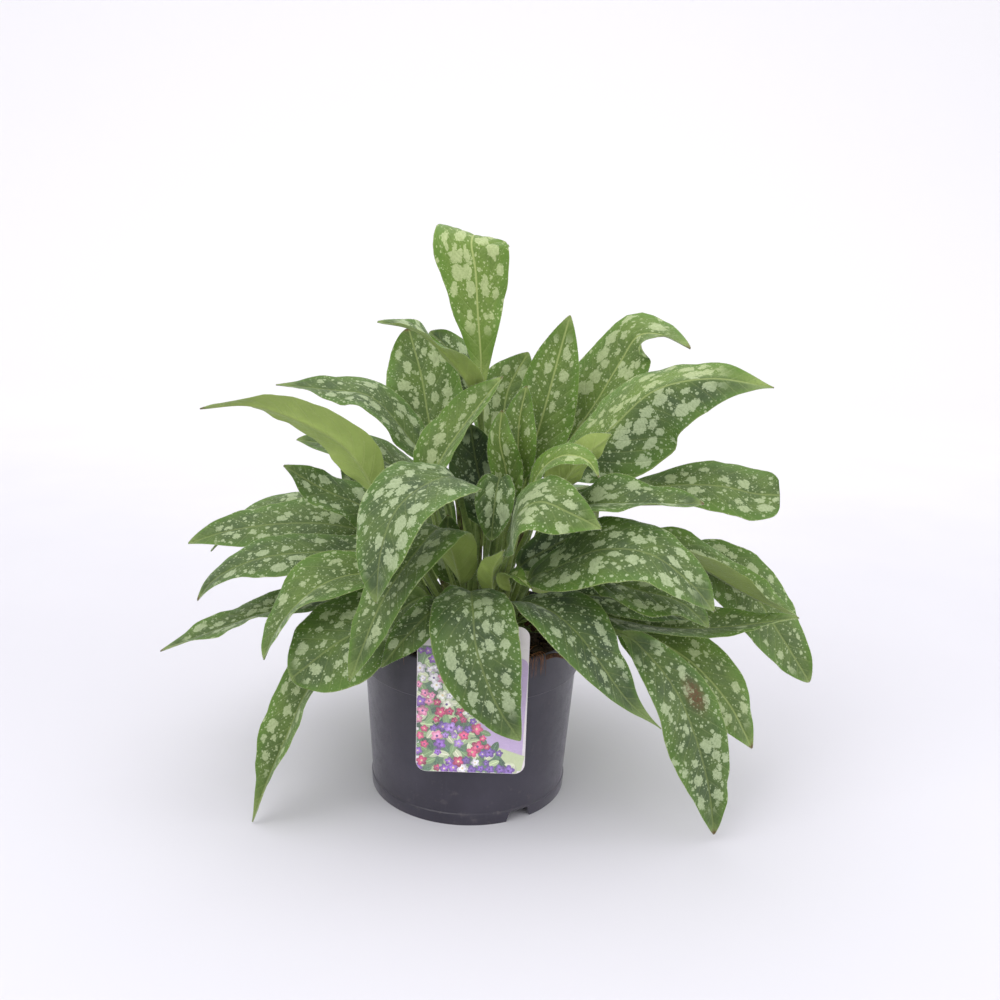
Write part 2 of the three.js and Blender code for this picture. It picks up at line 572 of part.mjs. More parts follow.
// Crown: a low mound on the soil, with a plain hole for every petiole
function crownGeometry(allRings) {
  const base = SOIL_TOP + GAP;
  const profile = [[0, base]];
  for (let step = 0; step <= CROWN_STEPS; step += 1) {
    const angle = (step / CROWN_STEPS) * (Math.PI / 2);
    profile.push([CROWN_RADIUS * Math.cos(angle), base + 1 + CROWN_HEIGHT * Math.sin(angle)]);
  }
  profile.splice(1, 0, [CROWN_RADIUS, base]);
  profile.at(-1)[0] = 0;
  const mound = turned(profile, CROWN_SEGMENTS);
  mound.translate(CROWN_CENTRE[0], CROWN_CENTRE[1], 0);
  const holes = allRings.map((rings) => solid(holeGeometry(rings)));
  return geometryOf(largestPiece(solid(mound).subtract(wasm.Manifold.union(holes))));
}

// Materials
const finishes = {
  pot: new THREE.MeshStandardMaterial({ color: "#57525d", roughness: 0.45, metalness: 0 }),
  soil: new THREE.MeshStandardMaterial({ color: "#33261d", roughness: 0.95, metalness: 0 }),
  label: new THREE.MeshStandardMaterial({ color: "#ded3e3", roughness: 0.35, metalness: 0 }),
  crown: new THREE.MeshStandardMaterial({ color: "#5d6a33", roughness: 0.8, metalness: 0 }),
  leaf: new THREE.MeshStandardMaterial({ color: "#4f7a3a", roughness: 0.6, metalness: 0 }),
};

const plant = new THREE.Group();

function place(name, geometry, material) {
  const mesh = new THREE.Mesh(geometry, material);
  mesh.name = name;
  plant.add(mesh);
}

const leaves = LEAVES.map((leaf) => ({ ...LEAF_DEFAULTS, ...leaf }));
const feet = leafFeet(leaves);
const leafSkins = leaves.map((leaf, index) => leafRings(leaf, feet[index], index));

place("pot", potGeometry(), finishes.pot);
place("soil", soilGeometry(), finishes.soil);
place("label", labelGeometry(), finishes.label);
place("crown", crownGeometry(leafSkins), finishes.crown);
leaves.forEach((leaf, index) => place(leaf.name, skin(leafSkins[index]), finishes.leaf));

export default plant;
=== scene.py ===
"""A spotted-leaf lungwort in its round nursery pot with a stick-in label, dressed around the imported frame.

Metres, +Z up, origin at the centre of the pot's underside, label towards -Y. Shapes are worked out in
millimetres. The leaves repeat the midribs, widths and folds of the solid model on a fine grid, with grooved
midribs, veins, waved margins and bristles.
"""

import logging
import math
from dataclasses import dataclass, field
from enum import Enum
from functools import partial
from typing import Any, Callable

import bmesh
import bpy
import numpy as np
from bpy.types import ID, Material, Mesh, NodeSocket, NodeTree, Object
from mathutils import Matrix, Vector
from numpy.typing import NDArray


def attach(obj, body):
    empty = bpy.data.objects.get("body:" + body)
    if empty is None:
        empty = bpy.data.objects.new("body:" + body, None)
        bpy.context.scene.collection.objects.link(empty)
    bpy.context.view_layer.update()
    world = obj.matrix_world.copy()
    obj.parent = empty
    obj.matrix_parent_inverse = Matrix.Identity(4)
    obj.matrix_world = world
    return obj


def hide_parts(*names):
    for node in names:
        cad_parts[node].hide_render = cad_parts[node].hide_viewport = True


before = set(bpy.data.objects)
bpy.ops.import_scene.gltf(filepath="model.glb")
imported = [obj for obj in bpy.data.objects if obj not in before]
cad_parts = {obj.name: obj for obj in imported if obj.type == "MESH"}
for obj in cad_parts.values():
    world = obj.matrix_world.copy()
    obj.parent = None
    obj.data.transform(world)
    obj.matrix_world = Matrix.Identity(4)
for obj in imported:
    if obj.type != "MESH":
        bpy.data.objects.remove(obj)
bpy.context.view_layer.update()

log = logging.getLogger("lungwort")

Array = NDArray[np.float64]
Point = tuple[float, float, float]
Colour = tuple[float, float, float, float]
Add = Callable[..., Any]
Look = tuple[Any, Any, Any]

MM = 0.001
SEED = 7
BODY = "root"


class Slot(Enum):
    """The record's material slots."""

    POT = "pot_plastic"
    SOIL = "potting_soil"
    LABEL = "label_card"
    CROWN = "crown_tissue"
    LEAF = "leaf_blade"


# Meshes


@dataclass
class Shape:
    """Vertices in millimetres with faces of equal size, and values that ride on the vertices."""

    points: Array
    faces: NDArray[np.int64]
    values: dict[str, Array] = field(default_factory=dict)


def joined(shapes: list[Shape]) -> Shape:
    """One shape of many, worked out in a single pass.

    Args:
        shapes: shapes whose faces all have the same number of corners, and which have the same values.

    Returns:
        The joined shape.
    """
    starts = np.cumsum([0] + [len(shape.points) for shape in shapes[:-1]])
    return Shape(
        np.concatenate([shape.points for shape in shapes]),
        np.concatenate([shape.faces + start for shape, start in zip(shapes, starts)]),
        {key: np.concatenate([shape.values[key] for shape in shapes]) for key in shapes[0].values},
    )


def add_object(name: str, data: ID) -> Object:
    """An object in the scene.

    Args:
        name: the object's name.
        data: its mesh, lamp or camera.

    Returns:
        The linked object.
    """
    made = bpy.data.objects.new(name, data)
    bpy.context.scene.collection.objects.link(made)
    return made


def smooth(mesh: Mesh, sharp_degrees: float) -> None:
    """Shades a mesh smooth.

    Args:
        mesh: the mesh.
        sharp_degrees: edges that bend by more than this stay sharp.
    """
    mesh.shade_smooth()
    if sharp_degrees < 180:
        mesh.set_sharp_from_angle(angle=math.radians(sharp_degrees))


def make_object(name: str, shape: Shape, sharp_degrees: float = 180.0) -> Object:
    """A mesh object at the origin, whose mesh holds the shape in metres.

    Args:
        name: the piece's name.
        shape: its shape in millimetres; values of two columns become a UV map, the others attributes.
        sharp_degrees: edges that bend by more than this stay sharp.

    Returns:
        The linked object.
    """
    mesh = bpy.data.meshes.new(name)
    loops = shape.faces.astype(np.int32).ravel()
    mesh.vertices.add(len(shape.points))
    mesh.vertices.foreach_set("co", (shape.points * MM).astype(np.float32).ravel())
    mesh.loops.add(len(loops))
    mesh.loops.foreach_set("vertex_index", loops)
    mesh.polygons.add(len(shape.faces))
    starts = np.arange(0, len(loops), shape.faces.shape[1], dtype=np.int32)
    mesh.polygons.foreach_set("loop_start", starts)
    mesh.update(calc_edges=True)
    for key, value in shape.values.items():
        if value.shape[1:] == (2,):
            value = value[loops]
            store, part = mesh.uv_layers.new(name=key), "uv"
        else:
            kind, part = ("FLOAT_VECTOR", "vector") if value.ndim == 2 else ("FLOAT", "value")
            store = mesh.attributes.new(key, kind, "POINT")
        store.data.foreach_set(part, value.astype(np.float32).ravel())
    mesh.validate()
    smooth(mesh, sharp_degrees)
    return add_object(name, mesh)


def make_facets(name: str, points: list[Array], faces: list[list[int]], ink: Any = None) -> Object:
    """An object of faces with any number of corners.

    Args:
        name: the piece's name.
        points: arrays of points in millimetres, numbered through.
        faces: the corner numbers of each face.
        ink: the printed colour, one for all points or one for each.

    Returns:
        The linked object.
    """
    mesh = bpy.data.meshes.new(name)
    whole = np.concatenate(points)
    mesh.from_pydata((whole * MM).tolist(), [], faces)
    if ink is not None:
        store = mesh.attributes.new("ink", "FLOAT_COLOR", "POINT")
        store.data.foreach_set("color", np.broadcast_to(ink, (len(whole), 4)).astype(np.float32).ravel())
    return add_object(name, mesh)


def weld(made: Object) -> Object:
    """Merges the doubles at seams and poles and points every face outwards.

    Args:
        made: the object whose mesh is welded.

    Returns:
        The same object.
    """
    work = bmesh.new()
    work.from_mesh(made.data)
    bmesh.ops.remove_doubles(work, verts=work.verts, dist=0.01 * MM)
    bmesh.ops.dissolve_degenerate(work, edges=work.edges, dist=0.002 * MM)
    bmesh.ops.recalc_face_normals(work, faces=work.faces)
    work.to_mesh(made.data)
    work.free()
    made.data.update()
    return made


def dress(made: Object, material: Material, slot: Slot, node: str = "") -> Object:
    """Gives a piece its material and hands it over to the frame.

    Args:
        made: the piece.
        material: what covers it.
        slot: the material slot that it shows; not used.
        node: the solid that it stands for, if any.

    Returns:
        The same object.
    """
    made.data.materials.append(material)
    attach(made, BODY)
    if node:
        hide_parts(node)
    return made


def sheet_faces(rows: int, columns: int, wrap: bool = True) -> NDArray[np.int64]:
    """Quads of a grid of points numbered row by row.

    Args:
        rows: how many rows of points.
        columns: how many points in a row.
        wrap: whether the last column joins the first.

    Returns:
        One row of four corner numbers for each quad.
    """
    last = columns if wrap else columns - 1
    row, column = np.meshgrid(np.arange(rows - 1), np.arange(last), indexing="ij")
    after = (column + 1) % columns
    quads = [row * columns + column, row * columns + after, (row + 1) * columns + after,
             (row + 1) * columns + column]
    return np.stack(quads, -1).reshape(-1, 4)


def circle(count: int) -> tuple[Array, Array]:
    """The cosines and sines of so many equal steps around a full turn."""
    angle = np.linspace(0, 2 * np.pi, count, endpoint=False)
    return np.cos(angle), np.sin(angle)


def turned(ahead: Array, aside: Array, aim: Any, x: Any, z: Any) -> Array:
    """Flat points given by how far they lie ahead and aside in the aim's direction from (x, z)."""
    cosine, sine = np.cos(aim), np.sin(aim)
    return np.stack([ahead * cosine - aside * sine + x, ahead * sine + aside * cosine + z], -1)


def revolve(profile: Array, segments: int) -> Shape:
    """A profile of (radius, height) turned about the Z axis.

    Args:
        profile: rows of radius and height.
        segments: steps around.

    Returns:
        The turned surface, still to be welded at its poles.
    """
    cosine, sine = circle(segments)
    radius, height = profile[:, :1], profile[:, 1:]
    points = np.stack([radius * cosine, radius * sine, height + 0 * sine], -1)
    return Shape(points.reshape(-1, 3), sheet_faces(len(profile), segments))


def softened(corners: list[Point], steps: int = 4) -> Array:
    """An outline with each corner rounded by a parabola between points at its radius from the corner.

    Args:
        corners: rows of x, y and the rounding at that corner; the ends are kept as they are.
        steps: points in each rounding.

    Returns:
        The outline's points, shape (points, 2).
    """
    table = np.array(corners, float)
    place, size = table[:, :2], table[:, 2]
    share = np.linspace(0, 1, steps)[:, None]
    rows = [place[:1]]
    for before, here, after, radius in zip(place[:-2], place[1:-1], place[2:], size[1:-1]):
        if radius == 0:
            rows.append(here[None])
            continue
        start = here + radius * (before - here) / np.linalg.norm(before - here)
        end = here + radius * (after - here) / np.linalg.norm(after - here)
        rows.append((1 - share) ** 2 * start + 2 * share * (1 - share) * here + share**2 * end)
    return np.concatenate([*rows, place[-1:]])


def resampled(line: Array, spacing: float) -> Array:
    """A polyline with extra points so that none lie further apart than the spacing.

    Args:
        line: the points, shape (points, n).
        spacing: the widest step, in millimetres.

    Returns:
        The finer polyline, which keeps every corner.
    """
    rows = []
    for start, end in zip(line[:-1], line[1:]):
        steps = max(1, math.ceil(np.linalg.norm(end - start) / spacing))
        rows.append(start + (np.arange(steps) / steps)[:, None] * (end - start))
    return np.concatenate([*rows, line[-1:]])


LATTICE = 64


def value_noise(x: Array, y: Array, seed: int) -> Array:
    """Smooth noise from -1 to 1: a random height at each whole x and y, blended by a smooth step.

    Args:
        x: first coordinates, in cells.
        y: second coordinates, in cells.
        seed: picks the lattice of heights, which repeats after its width.

    Returns:
        The noise at each point.
    """
    heights = np.random.default_rng(seed).uniform(-1, 1, (LATTICE, LATTICE))
    column, row = np.floor(x).astype(int), np.floor(y).astype(int)
    across, along = x - column, y - row
    across, along = across**2 * (3 - 2 * across), along**2 * (3 - 2 * along)
    left, right = column % LATTICE, (column + 1) % LATTICE
    low, high = row % LATTICE, (row + 1) % LATTICE
    near = heights[low, left] * (1 - across) + heights[low, right] * across
    far = heights[high, left] * (1 - across) + heights[high, right] * across
    return near * (1 - along) + far * along


def rough(x: Array, y: Array, cell: float, seed: int, octaves: int = 3) -> Array:
    """Noise summed over octaves, each half as wide and half as strong as the one before."""
    layers = [value_noise(x / cell * 2**k, y / cell * 2**k, seed + k) / 2**k for k in range(octaves)]
    return np.sum(layers, axis=0)


def curve_points(nodes: list[Point], samples: int) -> tuple[Array, Array]:
    """A centripetal Catmull-Rom curve through the nodes.

    Each span is the cubic whose end slopes come from its neighbours, with knots spaced by the square
    root of the distance between nodes; past each end the neighbour is the mirror image of the next node.

    Args:
        nodes: the points that the curve passes through.
        samples: points in each span.

    Returns:
        The points, and the curve's length up to each.
    """
    place = np.array(nodes, float)
    padded = np.concatenate([2 * place[:1] - place[1:2], place, 2 * place[-1:] - place[-2:-1]])
    knots = np.linalg.norm(np.diff(padded, axis=0), axis=1) ** 0.5
    share = (np.arange(samples) / samples)[:, None]
    rows = []
    for index, (first, middle, last) in enumerate(zip(knots, knots[1:], knots[2:])):
        before, start, end, after = padded[index : index + 4]
        slope = (end - start) / middle
        leave = ((start - before) / first - (end - before) / (first + middle) + slope) * middle
        arrive = (slope - (after - start) / (middle + last) + (after - end) / last) * middle
        rows.append(start + leave * share + (-3 * start + 3 * end - 2 * leave - arrive) * share**2
                    + (2 * start - 2 * end + leave + arrive) * share**3)
    line = np.concatenate([*rows, place[-1:]])
    length = np.concatenate([[0], np.cumsum(np.linalg.norm(np.diff(line, axis=0), axis=1))])
    return line, length


def along_curve(line: Array, length: Array, share: Array) -> Array:
    """Points of a measured curve at shares of its whole length, held at its ends."""
    wanted = share * length[-1]
    return np.stack([np.interp(wanted, length, line[:, axis]) for axis in range(3)], -1)


def unit(vectors: Array) -> Array:
    """Vectors scaled to length one."""
    return vectors / np.linalg.norm(vectors, axis=-1, keepdims=True)


def rings_about(side: Array, up: Array, around: int) -> Array:
    """Unit circles in the planes of side and up, shape (rows, around, 3)."""
    cosine, sine = circle(around)
    return cosine[:, None] * side[:, None] + sine[:, None] * up[:, None]


def thread(nodes: list[Point], radius: float, around: int = 6, samples: int = 8) -> Shape:
    """A round thread along a smooth curve, tapering to a point at its far end.

    Each ring lies square to the curve, at radius times the square root of what is left of the length,
    and the first and the last are closed by folding them flat.

    Args:
        nodes: the points that the thread passes through, in millimetres.
        radius: its radius at the start.
        around: points in a ring, an even number.
        samples: rings in each span.

    Returns:
        The closed thread, in quads.
    """
    line, length = curve_points(nodes, samples)
    tangent = unit(np.gradient(line, axis=0))
    side = unit(np.cross(tangent, np.array([0.31, 0.17, 0.93])))
    left = np.sqrt(np.clip(1 - length / length[-1], 0.01, 1))[:, None, None]
    rings = line[:, None] + radius * left * rings_about(side, np.cross(side, tangent), around)
    start = np.arange(around // 2 - 1)
    first = np.stack([start + 1, start, around - 1 - start, around - 2 - start], -1)
    last = (len(line) - 1) * around + first[:, ::-1]
    return Shape(rings.reshape(-1, 3), np.concatenate([sheet_faces(len(line), around), first, last]))


def bristles(roots: Array, aims: Array, radius: float) -> Shape:
    """Thin three-sided spikes, each a closed pyramid.

    Args:
        roots: where each spike stands, shape (count, 3).
        aims: its direction times its length, shape (count, 3).
        radius: its radius at the root.

    Returns:
        One shape of triangles.
    """
    side = unit(np.cross(aims, np.array([0.2, -0.3, 0.93])))
    corners = roots[:, None] + radius * rings_about(side, unit(np.cross(aims, side)), 3)
    points = np.concatenate([corners, (roots + aims)[:, None]], 1)
    pattern = np.array([[0, 1, 3], [1, 2, 3], [2, 0, 3], [0, 2, 1]])
    faces = np.arange(len(roots))[:, None, None] * 4 + pattern
    return Shape(points.reshape(-1, 3), faces.reshape(-1, 3))


# Materials


def linear(code: str) -> Colour:
    """An sRGB hex colour as linear light: c / 12.92 up to 0.04045, else ((c + 0.055) / 1.055) to the 2.4.

    Args:
        code: six hex digits.

    Returns:
        Red, green, blue and an alpha of one.
    """
    channels = [int(code[place : place + 2], 16) / 255 for place in (0, 2, 4)]
    bent = [c / 12.92 if c <= 0.04045 else ((c + 0.055) / 1.055) ** 2.4 for c in channels]
    return bent[0], bent[1], bent[2], 1.0


class Node(Enum):
    """The nodes in use: the type, its settings, the inputs that are filled in order, and the output."""

    UV = ("UVMap",)
    VALUE = ("Attribute", {}, (), "Fac")
    VECTOR = ("Attribute", {}, (), "Vector")
    COLOUR = ("Attribute", {}, (), "Color")
    PLACE = ("TexCoord", {}, (), "Object")
    SCALED = ("Mapping", {}, (0, 3))
    PARTS = ("SeparateXYZ",)
    CHANNELS = ("SeparateColor",)
    SUM = ("Math", {"operation": "ADD"})
    DIFFERENCE = ("Math", {"operation": "SUBTRACT"})
    PRODUCT = ("Math", {"operation": "MULTIPLY"})
    PRODUCT_SUM = ("Math", {"operation": "MULTIPLY_ADD"})
    LARGER = ("Math", {"operation": "MAXIMUM"})
    ABOVE = ("Math", {"operation": "GREATER_THAN"})
    AMOUNT = ("Math", {"operation": "ABSOLUTE"})
    ZIGZAG = ("Math", {"operation": "PINGPONG"})
    SHIFTED = ("VectorMath", {"operation": "ADD"})
    CENTRED = ("VectorMath", {"operation": "SUBTRACT"})
    STRETCHED = ("VectorMath", {"operation": "MULTIPLY"})
    WARPED = ("VectorMath", {"operation": "MULTIPLY_ADD"})
    STEP = ("MapRange", {"interpolation_type": "SMOOTHSTEP"}, (0, 1, 2, 3, 4))
    MIX = ("Mix", {"data_type": "RGBA", "clamp_factor": True}, (0, 6, 7), 2)
    OVERLAY = ("Mix", {"data_type": "RGBA", "clamp_factor": True, "blend_type": "OVERLAY"}, (0, 6, 7), 2)
    NOISE = ("TexNoise", {}, ("Vector", "Scale", "Detail", "Roughness"))
    NOISE_COLOUR = ("TexNoise", {}, ("Vector", "Scale", "Detail", "Roughness"), "Color")
    CELLS = ("TexVoronoi", {"voronoi_dimensions": "2D", "feature": "F1"}, ("Vector", "Scale"), "Distance")
    BUMP = ("Bump", {}, ("Strength", "Distance", "Height"))
    SURFACE = ("BsdfPrincipled", {}, ("Base Color", "Roughness", "IOR", "Sheen Weight", "Sheen Roughness",
                                      "Sheen Tint", "Normal"))
    OUTPUT = ("OutputMaterial",)

    def __init__(self, kind: str, settings: dict[str, Any] | None = None,
                 inputs: tuple[int | str, ...] = (0, 1, 2), output: int | str = 0) -> None:
        """Keeps the parts of the value under their names.

        Args:
            kind: the type, without the leading ShaderNode.
            settings: what is set on the node.
            inputs: the names or numbers of the inputs, in the order of their values.
            output: the name or number of the output that is read.
        """
        self.type_name = "ShaderNode" + kind
        self.settings = settings or {}
        self.inputs = inputs
        self.output = output


def add_node(tree: NodeTree, kind: Node, *values: Any, **settings: Any) -> NodeSocket | None:
    """Adds a node with its settings, and fills or links its inputs.

    Args:
        tree: the material's node tree.
        kind: the kind of node.
        values: a socket, an sRGB hex colour or a plain value for each input, in the kind's order.
        settings: settings beyond those of the kind.

    Returns:
        The output that the kind names; the socket's node has the others.
    """
    made = tree.nodes.new(kind.type_name)
    for key, value in {**kind.settings, **settings}.items():
        setattr(made, key, value)
    for place, value in zip(kind.inputs, values):
        if isinstance(value, NodeSocket):
            tree.links.new(value, made.inputs[place])
        else:
            made.inputs[place].default_value = linear(value) if isinstance(value, str) else value
    return made.outputs[kind.output] if made.outputs else None


def object_place(add: Add, stretch: Point = (1, 1, 1)) -> NodeSocket:
    """The place on the object in millimetres, stretched along its axes."""
    return add(Node.SCALED, add(Node.PLACE), tuple(part / MM for part in stretch))


@dataclass(frozen=True)
class SpotLayer:
    """Spots in cells of so many millimetres along and across, each with its own radius.

    The radius runs from low to high in cells; below nothing there is no spot. The warp shifts the
    place by so many millimetres, with warp_scale cells of noise for each millimetre.
    """

    pitch_along: float
    pitch_across: float
    warp: float
    warp_scale: float
    low: float
    high: float

    def depth(self, add: Add, place: NodeSocket) -> NodeSocket:
        """How far inside a spot the place is: the spot's radius less the distance from its middle, in cells.

        Args:
            add: adds a node to the material.
            place: the place on the surface, in millimetres.

        Returns:
            A value above 0 inside a spot.
        """
        cloud = add(Node.NOISE_COLOUR, place, self.warp_scale, 3.0, 0.65)
        centred = add(Node.CENTRED, cloud, (0.5, 0.5, 0.5))
        moved = add(Node.WARPED, centred, (2 * self.warp,) * 3, place)
        cells = add(Node.STRETCHED, moved, (1 / self.pitch_along, 1 / self.pitch_across, 0))
        distance = add(Node.CELLS, cells, 1.0)
        chance = add(Node.CHANNELS, distance.node.outputs["Color"])
        radius = add(Node.PRODUCT_SUM, chance, self.high - self.low, self.low)
        return add(Node.DIFFERENCE, radius, distance)


@dataclass(frozen=True)
class Finish:
    """What every finish has: a principled surface, to which each kind gives its own pattern.

    Noise has so many cells for each millimetre, and fineness is how much each finer layer of it counts.
    The bump is its strength and its height in millimetres, the sheen its weight, roughness and tint.
    """

    name: str = "plain"
    roughness: float = 0.5
    refraction: float = 1.5
    fineness: float = 0.55
    bump: tuple[float, float] = (0.0, 0.0)
    sheen: tuple[float, float, str] = (0.0, 0.5, "ffffff")

    def pattern(self, add: Add) -> Look:
        """What varies over the surface.

        Args:
            add: adds a node to the material.

        Returns:
            The colour, the roughness and the height that the bump follows.
        """
        raise NotImplementedError

    def build(self) -> Material:
        """The material: the pattern on a principled surface, with its bump if it has one.

        Returns:
            The material.
        """
        made = bpy.data.materials.new(self.name)
        made.use_nodes = True
        made.node_tree.nodes.clear()
        add = partial(add_node, made.node_tree)
        colour, roughness, height = self.pattern(add)
        strength, distance = self.bump
        weight, spread, tint = self.sheen
        normal = [add(Node.BUMP, strength, distance * MM, height)] if strength else []
        shader = add(Node.SURFACE, colour, roughness, self.refraction, weight, spread, tint, *normal)
        add(Node.OUTPUT, shader)
        return made


# Leaves


@dataclass(frozen=True)
class Leaf:
    """One leaf: where it points, its shape, and how its surface looks.

    The heading is in degrees from +X, lengths are in millimetres. The fold of each half against the
    other and the roll from base to tip are in degrees. Tone runs from fresh yellow-green 0 to dark
    blue-green 1, and silver is how much of the blade its pale blotches take. The painted half shade is
    painted light and shade: the right half is painted darker than the middle by this much, and the left
    half as much lighter and yellower. Scorch is the blade share, the column and
    the size of a browned patch.
    """

    name: str
    heading: float
    width: float
    midrib: list[Point]
    fold: float = 14
    roll: tuple[float, float] = (0, 0)
    wave: float = 2.5
    waves: float = 2
    belly: float = 0.45
    blunt: float = 0.8
    curl: float = 0.15
    petiole: list[Point] = field(default_factory=list)
    tone: float = 0.5
    silver: float = 0.5
    painted_half_shade: float = 0
    scorch: Point = (0, 0, 0)

    @property
    def neck(self) -> Point:
        """The first point that the petiole heads for."""
        return (self.petiole or self.midrib)[0]


